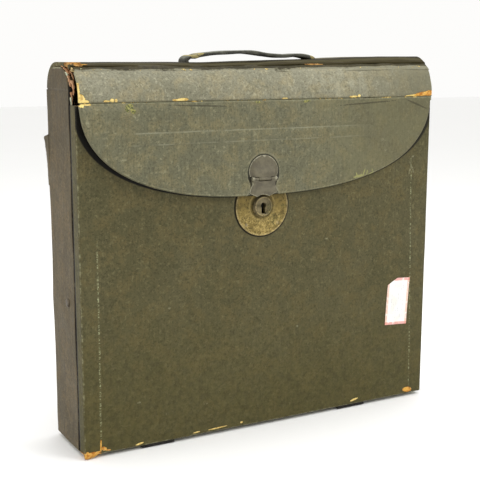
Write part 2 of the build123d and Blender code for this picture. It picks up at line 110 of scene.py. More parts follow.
def bump(value, centre, half):
    """A round bump, 1 at its centre and 0 beyond half."""
    return smooth(np.abs(np.asarray(value, float) - centre), half, 0)


def ripple(points, size, seed, count=7):
    """Soft uneven waves about size across, between about -1 and 1."""
    rng = np.random.default_rng(seed)
    total = np.zeros(points.shape[:-1])
    for _ in range(count):
        direction = rng.normal(size=3)
        direction /= np.linalg.norm(direction)
        length = size * rng.uniform(0.6, 1.7)
        total += np.sin(points @ direction * (2 * math.pi / length) + rng.uniform(0, 2 * math.pi))
    return total / math.sqrt(count)


# ---------------------------------------------------------------- meshes
def add_piece(name, vertices, faces, material, body, slot=None, wear=None):
    """A shaded mesh object that rides on a body, with an optional wear value for each vertex."""
    mesh = bpy.data.meshes.new(name)
    mesh.from_pydata([tuple(map(float, v)) for v in vertices], [], [tuple(map(int, f)) for f in faces])
    mesh.validate()
    if wear is not None:
        layer = mesh.attributes.new("wear", "FLOAT", "POINT")
        layer.data.foreach_set("value", np.asarray(wear, np.float32))
    mesh.materials.append(material)
    mesh.polygons.foreach_set("use_smooth", [True] * len(mesh.polygons))
    piece = bpy.data.objects.new(name, mesh)
    bpy.context.scene.collection.objects.link(piece)
    if body:
        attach(piece, body)
    return piece


def grid_normals(points):
    """Unit normals of a grid of points, from its two directions."""
    along = np.gradient(points, axis=0)
    across = np.gradient(points, axis=1)
    normal = np.cross(along, across)
    length = np.linalg.norm(normal, axis=2, keepdims=True)
    return normal / np.maximum(length, 1e-12)


def shell(points, thick, flip=False, keep=None, inner=None):
    """A grid of outer points made into a closed sheet. keep says which grid faces stay."""
    rows, columns = points.shape[:2]
    normal = grid_normals(points) * (-1 if flip else 1)
    if inner is None:
        inner = points - normal * thick
    vertices = np.concatenate([points.reshape(-1, 3), inner.reshape(-1, 3)])
    offset = rows * columns
    if keep is None:
        keep = np.ones((rows - 1, columns - 1), bool)
    faces = []

    def quad(a, b, c, d):
        faces.append((d, c, b, a) if flip else (a, b, c, d))

    padded = np.zeros((rows + 1, columns + 1), bool)
    padded[1:-1, 1:-1] = keep
    for i in range(rows - 1):
        for j in range(columns - 1):
            if not keep[i, j]:
                continue
            a, b = i * columns + j, (i + 1) * columns + j
            c, d = b + 1, a + 1
            quad(a, b, c, d)
            quad(d + offset, c + offset, b + offset, a + offset)
            if not padded[i, j + 1]:
                quad(a, d, d + offset, a + offset)
            if not padded[i + 2, j + 1]:
                quad(c, b, b + offset, c + offset)
            if not padded[i + 1, j]:
                quad(b, a, a + offset, b + offset)
            if not padded[i + 1, j + 2]:
                quad(d, c, c + offset, d + offset)
    used = np.unique(np.array(faces))
    lookup = np.full(len(vertices), -1)
    lookup[used] = np.arange(len(used))
    return vertices[used], lookup[np.array(faces)], used


def join(*parts):
    """Several (vertices, faces, wear) parts as one."""
    vertices, faces, wear, start = [], [], [], 0
    for part in parts:
        vertices.append(part[0])
        faces.extend([index + start for index in face] for face in part[1])
        wear.append(part[2])
        start += len(part[0])
    return np.concatenate(vertices), faces, np.concatenate(wear)


def lines(low, high, step):
    """Evenly spaced places from low to high, about step apart."""
    count = max(2, int(round(abs(high - low) / step)) + 1)
    return np.linspace(low, high, count)


def arc(radius, count, start=0.0, end=90.0):
    """Distances (1 - cos, sin) round a corner, as fractions of its radius times the radius."""
    turn = np.radians(np.linspace(start, end, count))
    return radius * (1 - np.cos(turn)), radius * np.sin(turn)


def soft_copy(node, width, segments=2):
    """A CAD node's shape with its edges rounded."""
    source = frame["nodes"][node].data
    mesh = bmesh.new()
    mesh.from_mesh(source)
    bmesh.ops.remove_doubles(mesh, verts=mesh.verts, dist=2e-6)
    flat = math.radians(1.0)
    bmesh.ops.dissolve_limit(mesh, angle_limit=flat, verts=mesh.verts, edges=mesh.edges)
    sharp = [e for e in mesh.edges if len(e.link_faces) == 2 and e.calc_face_angle(0) > math.radians(35)]
    bmesh.ops.bevel(
        mesh, geom=sharp, offset=width, segments=segments, profile=0.5, affect="EDGES", clamp_overlap=True
    )
    bmesh.ops.triangulate(mesh, faces=mesh.faces)
    bmesh.ops.recalc_face_normals(mesh, faces=mesh.faces)
    vertices = np.array([v.co for v in mesh.verts])
    faces = [[v.index for v in f.verts] for f in mesh.faces]
    mesh.free()
    return vertices, faces


def soften(node, width, material, body, slot, segments=2):
    """Replaces a CAD node with the same shape, its edges rounded."""
    vertices, faces = soft_copy(node, width, segments)
    piece = add_piece(f"{node}_finished", vertices, faces, material, body, slot)
    shade_by_angle(piece, 40)
    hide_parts(node)
    return piece


def shade_by_angle(piece, degrees):
    """Smooth shading with edges sharper than an angle kept crisp."""
    limit = math.radians(degrees)
    mesh = bmesh.new()
    mesh.from_mesh(piece.data)
    for edge in mesh.edges:
        edge.smooth = len(edge.link_faces) == 2 and edge.calc_face_angle(math.pi) < limit
    mesh.to_mesh(piece.data)
    mesh.free()


# ---------------------------------------------------------------- materials
class Finish:
    """A material and short calls for its nodes."""

    def __init__(self, name):
        self.material = bpy.data.materials.new(name)
        self.material.use_nodes = True
        self.tree = self.material.node_tree
        self.tree.nodes.clear()
        self.shader = self.tree.nodes.new("ShaderNodeBsdfPrincipled")
        output = self.tree.nodes.new("ShaderNodeOutputMaterial")
        self.tree.links.new(self.shader.outputs[0], output.inputs[0])
        self.place = self.node("ShaderNodeTexCoord").outputs["Object"]

    def node(self, kind, **settings):
        made = self.tree.nodes.new(kind)
        for key, value in settings.items():
            setattr(made, key, value)
        return made

    def feed(self, socket, value):
        """A socket takes a link or a plain value."""
        if isinstance(value, bpy.types.NodeSocket):
            self.tree.links.new(value, socket)
        else:
            socket.default_value = value

    def math(self, operation, a, b=0.0, clamp=False):
        made = self.node("ShaderNodeMath", operation=operation, use_clamp=clamp)
        self.feed(made.inputs[0], a)
        self.feed(made.inputs[1], b)
        return made.outputs[0]

    def mix(self, factor, a, b, blend="MIX"):
        made = self.node("ShaderNodeMix", data_type="RGBA", blend_type=blend)
        self.feed(made.inputs[0], factor)
        self.feed(made.inputs[6], a if isinstance(a, bpy.types.NodeSocket) else (*a, 1))
        self.feed(made.inputs[7], b if isinstance(b, bpy.types.NodeSocket) else (*b, 1))
        return made.outputs[2]

    def moved(self, centre=(0, 0, 0), turn=(0, 0, 0), scale=(1, 1, 1), place=None):
        """Object coordinates measured from a centre, turned and scaled."""
        made = self.node("ShaderNodeMapping", vector_type="TEXTURE")
        self.feed(made.inputs[0], place or self.place)
        made.inputs["Location"].default_value = centre
        made.inputs["Rotation"].default_value = turn
        made.inputs["Scale"].default_value = scale
        return made.outputs[0]

    def noise(self, size, detail=3.0, rough=0.55, stretch=None, twist=0.0, place=None):
        """Noise whose features are about size metres across."""
        if stretch:
            place = self.moved(scale=stretch, place=place)
        made = self.node("ShaderNodeTexNoise")
        self.feed(made.inputs["Vector"], place or self.place)
        made.inputs["Scale"].default_value = 1 / size
        made.inputs["Detail"].default_value = detail
        made.inputs["Roughness"].default_value = rough
        made.inputs["Distortion"].default_value = twist
        return made.outputs[0]

    def cells(self, size, feature="DISTANCE_TO_EDGE", place=None):
        made = self.node("ShaderNodeTexVoronoi", feature=feature)
        self.feed(made.inputs["Vector"], place or self.place)
        made.inputs["Scale"].default_value = 1 / size
        return made.outputs[0]

    def step(self, value, low, high):
        """0 below low and 1 above high, smooth between."""
        made = self.node("ShaderNodeMapRange", interpolation_type="SMOOTHSTEP")
        self.feed(made.inputs["Value"], value)
        made.inputs["From Min"].default_value = low
        made.inputs["From Max"].default_value = high
        return made.outputs[0]

    def attribute(self, name):
        return self.node("ShaderNodeAttribute", attribute_name=name).outputs["Fac"]

    def axis(self, letter, place=None):
        made = self.node("ShaderNodeSeparateXYZ")
        self.feed(made.inputs[0], place or self.place)
        return made.outputs["XYZ".index(letter)]

    def away(self, x, z):
        """Distance from a line along Y."""
        dx, dz = self.math("SUBTRACT", self.axis("X"), x), self.math("SUBTRACT", self.axis("Z"), z)
        return self.math("SQRT", self.math("ADD", self.math("MULTIPLY", dx, dx), self.math("MULTIPLY", dz, dz)))

    def patch(self, x, z, half_x, half_z, turn=0.0, ragged=0.35, y=None):
        """1 inside a ragged ellipse on the front, 0 outside."""
        centre = (x * MM, 0 if y is None else y * MM, z * MM)
        place = self.moved(centre, (0, math.radians(-turn), 0), (half_x * MM, 1 if y is None else 6 * MM, half_z * MM))
        flat = self.node("ShaderNodeVectorMath", operation="MULTIPLY")
        self.feed(flat.inputs[0], place)
        flat.inputs[1].default_value = (1, 0 if y is None else 1, 1)
        length = self.node("ShaderNodeVectorMath", operation="LENGTH")
        self.feed(length.inputs[0], flat.outputs[0])
        edge = self.math("ADD", length.outputs["Value"], self.math("MULTIPLY", self.ragged, ragged * 2))
        return self.step(edge, 1.06, 0.94)

    def patches(self, places):
        """The union of several patches; the ragged noise is shared."""
        self.ragged = self.math("SUBTRACT", self.noise(2.2 * MM, 4.0, 0.7), 0.5)
        total = 0.0
        for place in places:
            total = self.math("MAXIMUM", total, self.patch(*place))
        return total

    def bump(self, heights):
        """Bump from (height, depth in metres) pairs, laid one over another."""
        normal = None
        for height, depth in heights:
            made = self.node("ShaderNodeBump")
            made.inputs["Strength"].default_value = 1.0
            made.inputs["Distance"].default_value = depth
            self.feed(made.inputs["Height"], height)
            if normal is not None:
                self.feed(made.inputs["Normal"], normal)
            normal = made.outputs[0]
        self.feed(self.shader.inputs["Normal"], normal)

    def set(self, **values):
        for key, value in values.items():
            self.feed(self.shader.inputs[key.replace("_", " ")], value)


STRAW_FRESH = ((0.80, 0.62, 0.22), (0.44, 0.27, 0.07))
STRAW_OLD = ((0.66, 0.36, 0.07), (0.38, 0.14, 0.02))


STRAW_DEEP = ((0.44, 0.24, 0.075), (0.13, 0.055, 0.015))


def straw_colour(finish, tones=STRAW_FRESH, old_beyond=None, both_ends=True):
    """Broken strawboard, with fibres; fresh breaks are yellow, old ones orange brown.

    old_beyond is the place along X past which the breaks are old, at the right end or at both.
    """
    tone = finish.noise(4 * MM, 4.0, 0.65)
    fibre = finish.noise(0.8 * MM, 2.0, 0.6, stretch=(4, 1, 1))
    colour = finish.mix(finish.step(tone, 0.42, 0.66), *tones)
    if old_beyond:
        aged = finish.mix(finish.step(tone, 0.38, 0.62), *STRAW_OLD)
        along = finish.axis("X")
        along = finish.math("ABSOLUTE", along) if both_ends else along
        outer = finish.step(along, old_beyond, old_beyond + 4 * MM)
        colour = finish.mix(outer, colour, aged)
    return finish.mix(finish.math("MULTIPLY", finish.step(fibre, 0.5, 0.75), 0.6), colour, (0.78, 0.58, 0.28))


def leathercloth(name, light, dark, bare=(), pale=(), rib=0.5, shade=None, edge_tone=(0.27, 0.26, 0.16), straw=STRAW_FRESH, shine=0.20, old_beyond=None, both_ends=True):
    """Olive coated cloth: ribs of the weave, mottling, crackle, worn edges and torn places.

    bare are patches worn through to the strawboard, pale are rubbed ones, as for Finish.patch.
    """
    f = Finish(name)
    broad = f.noise(70 * MM, 3.0, 0.5)
    cloud = f.noise(14 * MM, 4.0, 0.6, twist=0.3)
    grain = f.noise(1.6 * MM, 3.0, 0.6)
    colour = f.mix(f.step(broad, 0.35, 0.65), light, dark)
    warmer = tuple(c * k for c, k in zip(light, (1.19, 1.08, 0.90)))
    colour = f.mix(f.math("MULTIPLY", f.step(cloud, 0.42, 0.64), 0.8), colour, warmer)
    cooler = tuple(c * k for c, k in zip(dark, (0.74, 0.77, 0.76)))
    blotch = f.noise(7 * MM, 5.0, 0.68, twist=0.6)
    colour = f.mix(f.math("MULTIPLY", f.step(blotch, 0.50, 0.68), 0.62), colour, cooler)
    darker = tuple(c * 0.46 for c in dark)
    colour = f.mix(f.math("MULTIPLY", f.step(grain, 0.46, 0.70), 0.62), colour, darker)
    paler = tuple(c * 1.95 for c in light)
    spots = f.noise(3.0 * MM, 5.0, 0.74, twist=0.4)
    colour = f.mix(f.math("MULTIPLY", f.step(spots, 0.52, 0.68), 0.52), colour, paler)

    threads = f.node("ShaderNodeTexWave", wave_type="BANDS", bands_direction="X", wave_profile="SIN")
    f.feed(threads.inputs["Vector"], f.place)
    threads.inputs["Scale"].default_value = 1 / (2 * math.pi * 0.34 * MM) / 2
    threads.inputs["Distortion"].default_value = 1.2
    threads.inputs["Detail"].default_value = 1.0
    threads.inputs["Detail Scale"].default_value = 0.6
    weave = threads.outputs[1]
    streak = f.noise(1.5 * MM, 3.0, 0.6, stretch=(1, 1, 16))
    colour = f.mix(f.math("MULTIPLY", f.step(streak, 0.40, 0.72), 0.26 * rib + 0.05), colour, darker)
    crackle = f.step(f.cells(4.5 * MM), 0.05, 0.0)
    broken = f.math("MULTIPLY", crackle, f.step(cloud, 0.45, 0.66))
    colour = f.mix(f.math("MULTIPLY", broken, 0.07), colour, edge_tone)
    speck = f.step(f.noise(2.0 * MM, 2.0, 0.5), 0.755, 0.80)
    colour = f.mix(f.math("MULTIPLY", speck, 0.45), colour, edge_tone)
    if shade:
        colour = shade(f, colour)

    fray = f.noise(3.0 * MM, 4.0, 0.7)
    wear = f.attribute("wear")
    rubbed = f.step(f.math("ADD", wear, f.math("SUBTRACT", fray, 0.5)), 0.45, 0.80)
    colour = f.mix(f.math("MULTIPLY", rubbed, 0.75), colour, edge_tone)
    through = f.step(f.math("ADD", wear, f.math("MULTIPLY", f.math("SUBTRACT", fray, 0.5), 1.6)), 1.02, 1.10)
    if pale:
        colour = f.mix(f.math("MULTIPLY", f.math("MULTIPLY", f.patches(pale), f.step(fray, 0.35, 0.6)), 0.55), colour, edge_tone)
    if bare:
        through = f.math("MAXIMUM", through, f.patches(bare))
    board = straw_colour(f, straw, old_beyond, both_ends)
    rim = f.math("MULTIPLY", f.math("MULTIPLY", through, f.math("SUBTRACT", 1.0, through)), 4.0)
    colour = f.mix(through, colour, board)
    colour = f.mix(f.math("MULTIPLY", rim, 0.75), colour, (0.07, 0.045, 0.015))

    gloss = f.math("ADD", 0.44, f.math("MULTIPLY", f.noise(22 * MM, 4.0, 0.6), 0.26))
    f.set(Base_Color=colour, Roughness=f.mix_value(through, gloss, 0.9), Specular_IOR_Level=shine)
    f.bump(
        [
            (broken, 0.10 * MM),
            (f.math("MULTIPLY", weave, rib), 0.05 * MM),
            (grain, 0.12 * MM),
            (f.noise(9 * MM, 3.0, 0.6), 0.55 * MM),
            (f.math("MULTIPLY", through, -1.0), 0.45 * MM),
        ]
    )
    return f.material


def mix_value(self, factor, a, b):
    """A number between a and b."""
    made = self.node("ShaderNodeMix", data_type="FLOAT")
    self.feed(made.inputs[0], factor)
    self.feed(made.inputs[2], a)
    self.feed(made.inputs[3], b)
    return made.outputs[0]


Finish.mix_value = mix_value


def strawboard(name, tones):
    f = Finish(name)
    f.set(Base_Color=straw_colour(f, tones), Roughness=0.92, Specular_IOR_Level=0.2)
    f.bump([(f.noise(0.9 * MM, 4.0, 0.7, stretch=(5, 1, 1)), 0.25 * MM)])
    return f.material


def brass_finish(name, bright, dull, spot=0.5):
    """Old brass: bright rubbed metal under brown spots and a green bloom."""
    f = Finish(name)
    stain = f.noise(6 * MM, 5.0, 0.68)
    fleck = f.noise(1.5 * MM, 3.0, 0.6)
    scratch = f.noise(0.5 * MM, 2.0, 0.5, stretch=(9, 1, 1.5))
    colour = f.mix(f.step(stain, 0.36, 0.70), bright, dull)
    bloom = f.step(f.noise(11 * MM, 3.0, 0.6), 0.50, 0.68)
    colour = f.mix(f.math("MULTIPLY", bloom, 0.45), colour, (0.075, 0.075, 0.022))
    # Painted highlight: glints brighten the lower part of the brass.
    low = f.step(f.axis("Z"), LOCK_Z + 4 * MM, LOCK_Z - 17 * MM)
    glints = f.step(f.noise(2.4 * MM, 5.0, 0.75), 0.44, 0.62)
    colour = f.mix(f.math("MULTIPLY", low, f.math("MULTIPLY", glints, 0.55)), colour, (0.62, 0.47, 0.17))
    # Painted shade: the upper part of the brass is darker.
    high = f.step(f.axis("Z"), LOCK_Z - 4 * MM, LOCK_Z + 14 * MM)
    colour = f.mix(f.math("MULTIPLY", high, 0.4), colour, (0.075, 0.055, 0.018))
    away = f.away(LOCK_X, LOCK_Z)
    turned = f.step(f.math("ABSOLUTE", f.math("SUBTRACT", away, 12.6 * MM)), 1.2 * MM, 0.3 * MM)
    colour = f.mix(f.math("MULTIPLY", turned, 0.35), colour, (0.34, 0.26, 0.10))
    dirty = f.math("MULTIPLY", f.step(away, 12.0 * MM, 10.2 * MM), f.step(away, 9.4 * MM, 9.7 * MM))
    colour = f.mix(f.math("MULTIPLY", dirty, 0.6), colour, (0.035, 0.026, 0.008))
    colour = f.mix(f.math("MULTIPLY", f.step(fleck, 0.58, 0.68), spot), colour, (0.030, 0.022, 0.008))
    rough = f.math("ADD", 0.34, f.math("MULTIPLY", stain, 0.36))
    f.set(Base_Color=colour, Roughness=rough, Metallic=0.72)
    f.bump([(scratch, 0.03 * MM), (fleck, 0.08 * MM), (stain, 0.16 * MM)])
    return f.material


def japanned(name):
    """Brown olive paint on metal, rubbed through in places."""
    f = Finish(name)
    tone = f.noise(7 * MM, 4.0, 0.6)
    colour = f.mix(f.step(tone, 0.35, 0.65), (0.126, 0.110, 0.066), (0.080, 0.068, 0.040))
    # The wear value also brings painted highlights, on the hasp's rim and crown.
    rubbed = f.step(f.math("ADD", f.attribute("wear"), f.noise(2.5 * MM, 4.0, 0.7)), 0.78, 1.05)
    colour = f.mix(f.math("MULTIPLY", rubbed, 0.55), colour, (0.42, 0.40, 0.28))
    f.set(Base_Color=colour, Roughness=f.math("ADD", 0.36, f.math("MULTIPLY", tone, 0.2)), Metallic=0.15)
    f.bump([(tone, 0.12 * MM), (f.noise(1.1 * MM, 3.0, 0.6), 0.05 * MM)])
    return f.material


def steel(name="dull_steel", light=(0.30, 0.28, 0.24), dark=(0.13, 0.09, 0.06)):
    f = Finish(name)
    tone = f.noise(3 * MM, 4.0, 0.65)
    colour = f.mix(f.step(tone, 0.4, 0.65), light, dark)
    f.set(Base_Color=colour, Roughness=f.math("ADD", 0.35, f.math("MULTIPLY", tone, 0.3)), Metallic=0.8)
    f.bump([(f.noise(0.7 * MM, 2.0, 0.6), 0.04 * MM)])
    return f.material


def strap_leather(name, patches=(), light=(0.075, 0.074, 0.056), dark=(0.026, 0.025, 0.020)):
    """Black-brown strap leather, greyed on top, cracked yellow where it bends."""
    f = Finish(name)
    tone = f.noise(9 * MM, 4.0, 0.6)
    grain = f.cells(0.9 * MM, "F1")
    colour = f.mix(f.step(tone, 0.35, 0.68), light, dark)
    rubbed = f.step(f.math("ADD", f.attribute("wear"), f.math("SUBTRACT", f.noise(4 * MM, 4.0, 0.7), 0.5)), 0.5, 0.9)
    colour = f.mix(f.math("MULTIPLY", rubbed, 0.8), colour, (0.17, 0.175, 0.135))
    if patches:
        colour = f.mix(f.math("MULTIPLY", f.patches(patches), 0.8), colour, (0.34, 0.28, 0.11))
    f.set(Base_Color=colour, Roughness=f.math("ADD", 0.5, f.math("MULTIPLY", tone, 0.25)), Specular_IOR_Level=0.25)
    f.bump([(grain, 0.08 * MM), (f.noise(3 * MM, 4.0, 0.65), 0.35 * MM)])
    return f.material


def plain_cloth(name, light, dark, size=0.6 * MM):
    """Thin lining cloth or paper with a fine weave and stains."""
    f = Finish(name)
    stain = f.noise(18 * MM, 4.0, 0.6)
    colour = f.mix(f.step(stain, 0.38, 0.66), light, dark)
    fibre = f.noise(size, 3.0, 0.6, stretch=(1, 1, 3))
    colour = f.mix(f.math("MULTIPLY", f.step(fibre, 0.45, 0.7), 0.3), colour, dark)
    f.set(Base_Color=colour, Roughness=0.88, Specular_IOR_Level=0.25)
    f.bump([(fibre, 0.08 * MM), (stain, 0.3 * MM)])
    return f.material


def rail_wood():
    f = Finish("rail_wood")
    rings = f.noise(2.2 * MM, 3.0, 0.6, stretch=(1, 1, 14))
    # Nearly black wood: painted shade, so the rails read as shadow in the gaps beside the front.
    colour = f.mix(f.step(rings, 0.35, 0.65), (0.040, 0.024, 0.012), (0.020, 0.011, 0.006))
    f.set(Base_Color=colour, Roughness=0.7)
    f.bump([(rings, 0.12 * MM)])
    return f.material


def label_paper(low, high):
    """White paper with a faded printed border and faint rubbed rules, no lettering."""
    f = Finish("label_paper")
    centre = ((low[0] + high[0]) / 2, 0, (low[2] + high[2]) / 2)
    place = f.moved(centre, (0, math.radians(LABEL_TILT), 0))
    x = f.math("ABSOLUTE", f.axis("X", place))
    z = f.math("ABSOLUTE", f.axis("Z", place))
    fade = f.noise(3.5 * MM, 4.0, 0.7)
    side = f.step(x, LABEL_HALF[0] - 2.6 * MM, LABEL_HALF[0] - 2.0 * MM)
    end = f.step(z, LABEL_HALF[1] - 2.9 * MM, LABEL_HALF[1] - 2.3 * MM)
    worn = f.step(fade, 0.30, 0.52)
    colour = f.mix(f.step(f.noise(12 * MM, 3.0), 0.4, 0.7), (0.84, 0.83, 0.80), (0.78, 0.76, 0.70))
    colour = f.mix(f.math("MULTIPLY", f.math("MULTIPLY", side, worn), 0.62), colour, (0.74, 0.36, 0.20))
    colour = f.mix(f.math("MULTIPLY", f.math("MULTIPLY", end, worn), 0.72), colour, (0.70, 0.20, 0.16))
    rule = f.step(f.math("ABSOLUTE", f.math("SUBTRACT", f.math("PINGPONG", f.axis("X", place), 2.6 * MM), 1.3 * MM)),
                  0.45 * MM, 0.15 * MM)
    inside = f.math("MULTIPLY", f.step(x, 8.5 * MM, 7.0 * MM), f.step(z, 17.5 * MM, 15.5 * MM))
    faded = f.math("MULTIPLY", rule, f.step(f.noise(2.0 * MM, 4.0, 0.8), 0.50, 0.58))
    colour = f.mix(f.math("MULTIPLY", f.math("MULTIPLY", faded, inside), 0.6), colour, (0.30, 0.30, 0.40))
    f.set(Base_Color=colour, Roughness=0.75)
    f.bump([(fade, 0.08 * MM)])
    return f.material


def plain(name, colour, roughness=0.6):
    f = Finish(name)
    spots = f.noise(400 * MM, 2.0)
    f.set(Base_Color=f.mix(spots, colour, tuple(c * 0.985 for c in colour)), Roughness=roughness)
    return f.material


LABEL_HALF = (12.75 * MM, 22.75 * MM)
LABEL_TILT = 3.5

# Patches are (x, z, half width, half height, turn, raggedness) in millimetres and degrees.
CREASE_MM = CREASE.z / MM
BASE_MM = BASE_Z / MM
BAND_BARE = (
    (-173.6, CREASE_MM + 8.5, 1.3, 8.5, -6, 0.6),
    (-171.5, CREASE_MM + 3.4, 3.6, 4.4, 30, 0.4),
    (-169, CREASE_MM + 1.4, 4.6, 1.7, 0, 0.4),
    (-150.5, CREASE_MM + 1.8, 2.6, 0.9, 0, 1.0),
    (-146, CREASE_MM + 2.4, 1.8, 1.5, 0, 1.0),
    (-142.5, CREASE_MM + 1.9, 1.2, 1.8, 0, 0.8),
    (-91, CREASE_MM + 1.6, 3.2, 0.9, 0, 0.3),
    (-85, CREASE_MM + 1.7, 5.6, 1.5, 3, 0.3),
    (12, CREASE_MM + 1.2, 3.2, 0.7, 0, 0.6),
    (84, CREASE_MM + 1.5, 5.0, 0.8, 0, 0.9),
    (90, CREASE_MM + 2.2, 1.6, 1.2, 0, 0.8),
    (151, CREASE_MM + 1.6, 9.0, 1.0, 4, 0.5),
    (161, CREASE_MM + 2.6, 9.0, 2.0, 7, 0.3),
    (169, CREASE_MM + 3.4, 5.6, 2.5, 4, 0.25),
)
FLAP_BARE = (
    (-171.5, CREASE_MM - 1.2, 2.2, 1.6, 0, 0.7),
    (-167, CREASE_MM - 0.6, 3.6, 0.7, 0, 0.8),
)
FLAP_CHIPS = (
    (-132, CREASE_MM - 2.6, 3.6, 2.0, 20, 0.7),
    (-129.5, CREASE_MM - 6.0, 2.0, 2.2, 40, 0.7),
    (-134.5, CREASE_MM - 5.0, 1.4, 2.0, 0, 0.7),
    (-15, CREASE_MM - 1.2, 2.6, 1.2, 0, 0.8),
    (34, CREASE_MM - 1.4, 3.4, 1.2, 10, 0.8),
)
FLAP_PALE = (
    (-129, CREASE_MM - 9.5, 1.4, 2.6, 30, 0.8),
    (-125, CREASE_MM - 10.0, 0.8, 2.2, -30, 0.8),
    (-168, 276, 1.4, 3.4, 10, 0.9),
    (-154, 259, 1.6, 0.9, 0, 0.8),
    (-139, 247, 2.2, 0.7, 0, 0.8),
    (-43, 222, 1.4, 0.7, 0, 0.8),
    (-33, 229, 1.2, 1.0, 0, 0.8),
    (116, 254, 1.6, 1.4, 0, 0.8),
    (120, 244, 1.4, 1.2, 0, 0.8),
)
FLAP_SCRATCH = (
    (91, 221.6, 5.6, 1.1, 8, 0.9),
    (96.5, 224.6, 0.7, 3.6, -20, 0.5),
    (88.5, 223.2, 0.6, 2.0, 24, 0.5),
    (100, 224.4, 0.6, 2.4, -8, 0.5),
    (104.5, 223.0, 3.4, 0.9, 24, 0.8),
    (106, 226, 0.5, 1.8, 16, 0.5),
)
# Painted shade: thin dark lines where the flap is creased near its top.
FLAP_CREASE_SHADOWS = (
    (154, 285.0, 13.0, 0.8, -20, 0.5),
    (100, 287.0, 30.0, 0.7, 3, 0.8),
    (-70, 288.0, 26.0, 0.7, -2, 0.9),
)
FRONT_BARE = (
    (-170, BASE_MM + 0.8, 6.0, 2.3, 6, 0.4),
    (-173.0, BASE_MM + 2.4, 1.6, 1.8, 0, 0.5),
    (-165, BASE_MM + 0.4, 5.0, 1.6, 0, 0.4),
    (-161.0, BASE_MM + 7.0, 0.7, 5.6, -3, 0.6),
    (-158.2, BASE_MM + 4.2, 2.2, 1.7, -38, 0.6),
    (-154.8, BASE_MM + 2.4, 2.6, 0.7, -10, 0.6),
    (-126.3, BASE_MM + 2.4, 3.6, 0.9, 10, 0.5),
    (-72.5, BASE_MM + 2.6, 3.6, 0.6, 4, 0.6),
    (-52, BASE_MM + 2.8, 10.0, 0.6, 2, 0.5),
    (-27.5, BASE_MM + 3.6, 1.6, 0.9, 0, 0.6),
    (95, BASE_MM + 4.2, 4.4, 1.0, 12, 0.5),
    (158.6, BASE_MM + 4.0, 5.4, 2.6, -4, 0.6),
)
FRONT_PALE = (
    (154.2, 228, 0.9, 4.5, 22, 0.8),
    (152.8, 222.5, 0.9, 3.4, -16, 0.8),
    (156.5, 223.0, 0.8, 3.0, 8, 0.8),
    (156.2, 236, 1.0, 1.2, 0, 0.8),
    (-126.5, 41.8, 1.6, 0.9, 0, 0.7),
    (-100, 27.4, 1.6, 1.1, 0, 0.7),
    (-63.4, 30.0, 1.8, 1.0, 0, 0.7),
    (-97, 120, 1.2, 0.9, 0, 0.8),
    (30, 88, 1.5, 0.9, 0, 0.8),
    (60, 166, 1.5, 0.6, 10, 0.8),
)
LID_BARE = (
    (50, SEAM.z / MM + 2.4, 11.0, 1.3, 0, 0.9),
    (66, SEAM.z / MM + 1.0, 6.0, 0.6, 0, 0.8),
    (115, SEAM.z / MM + 2.0, 10.0, 0.6, 0, 0.9),
    (-172.0, TOP_Z / MM - 1.4, 4.2, 3.6, 0, 0.8, SEAM.y / MM + 12),
    (-167.5, TOP_Z / MM - 1.6, 3.6, 2.4, 0, 1.0, SEAM.y / MM + 4),
)
WALL_BARE = ()


def half_moon(x):
    """Depth of the flap below the crease at a place along X, as a share of its depth."""
    x = np.asarray(x, float)
    left = (LOCK_X - x) / (LOCK_X - FLAP_LOW.x)
    right = (x - LOCK_X) / (FLAP_HIGH.x - LOCK_X)
    share = np.clip(np.where(x < LOCK_X, left, right), 0, 1)
    power = np.where(x < LOCK_X, FLAP_LEFT_POWER, FLAP_RIGHT_POWER)
    return (1 - share**power) ** (1 / power)


def worn_line(f, x, lean, low, high, wobble=0.8):
    """A broken upright line of rubbed dots, where the covering lies over the edge of a rail."""
    across, z = f.axis("X"), f.axis("Z")
    wander = f.math("MULTIPLY", f.math("SUBTRACT", f.noise(26 * MM, 3.0, 0.6, stretch=(1e3, 1e3, 1)), 0.5), wobble * 2 * MM)
    centre = f.math("ADD", wander, f.math("ADD", f.math("MULTIPLY", z, lean), x * MM))
    near = f.step(f.math("ABSOLUTE", f.math("SUBTRACT", across, centre)), 1.0 * MM, 0.35 * MM)
    dots = f.step(f.noise(3.4 * MM, 4.0, 0.85, stretch=(1e3, 1e3, 1)), 0.46, 0.56)
    span = f.math("MULTIPLY", f.step(z, low * MM, (low + 8) * MM), f.step(z, high * MM, (high - 25) * MM))
    ragged = f.step(f.noise(1.2 * MM, 2.0, 0.7), 0.40, 0.60)
    return f.math("MULTIPLY", f.math("MULTIPLY", near, dots), f.math("MULTIPLY", span, ragged))


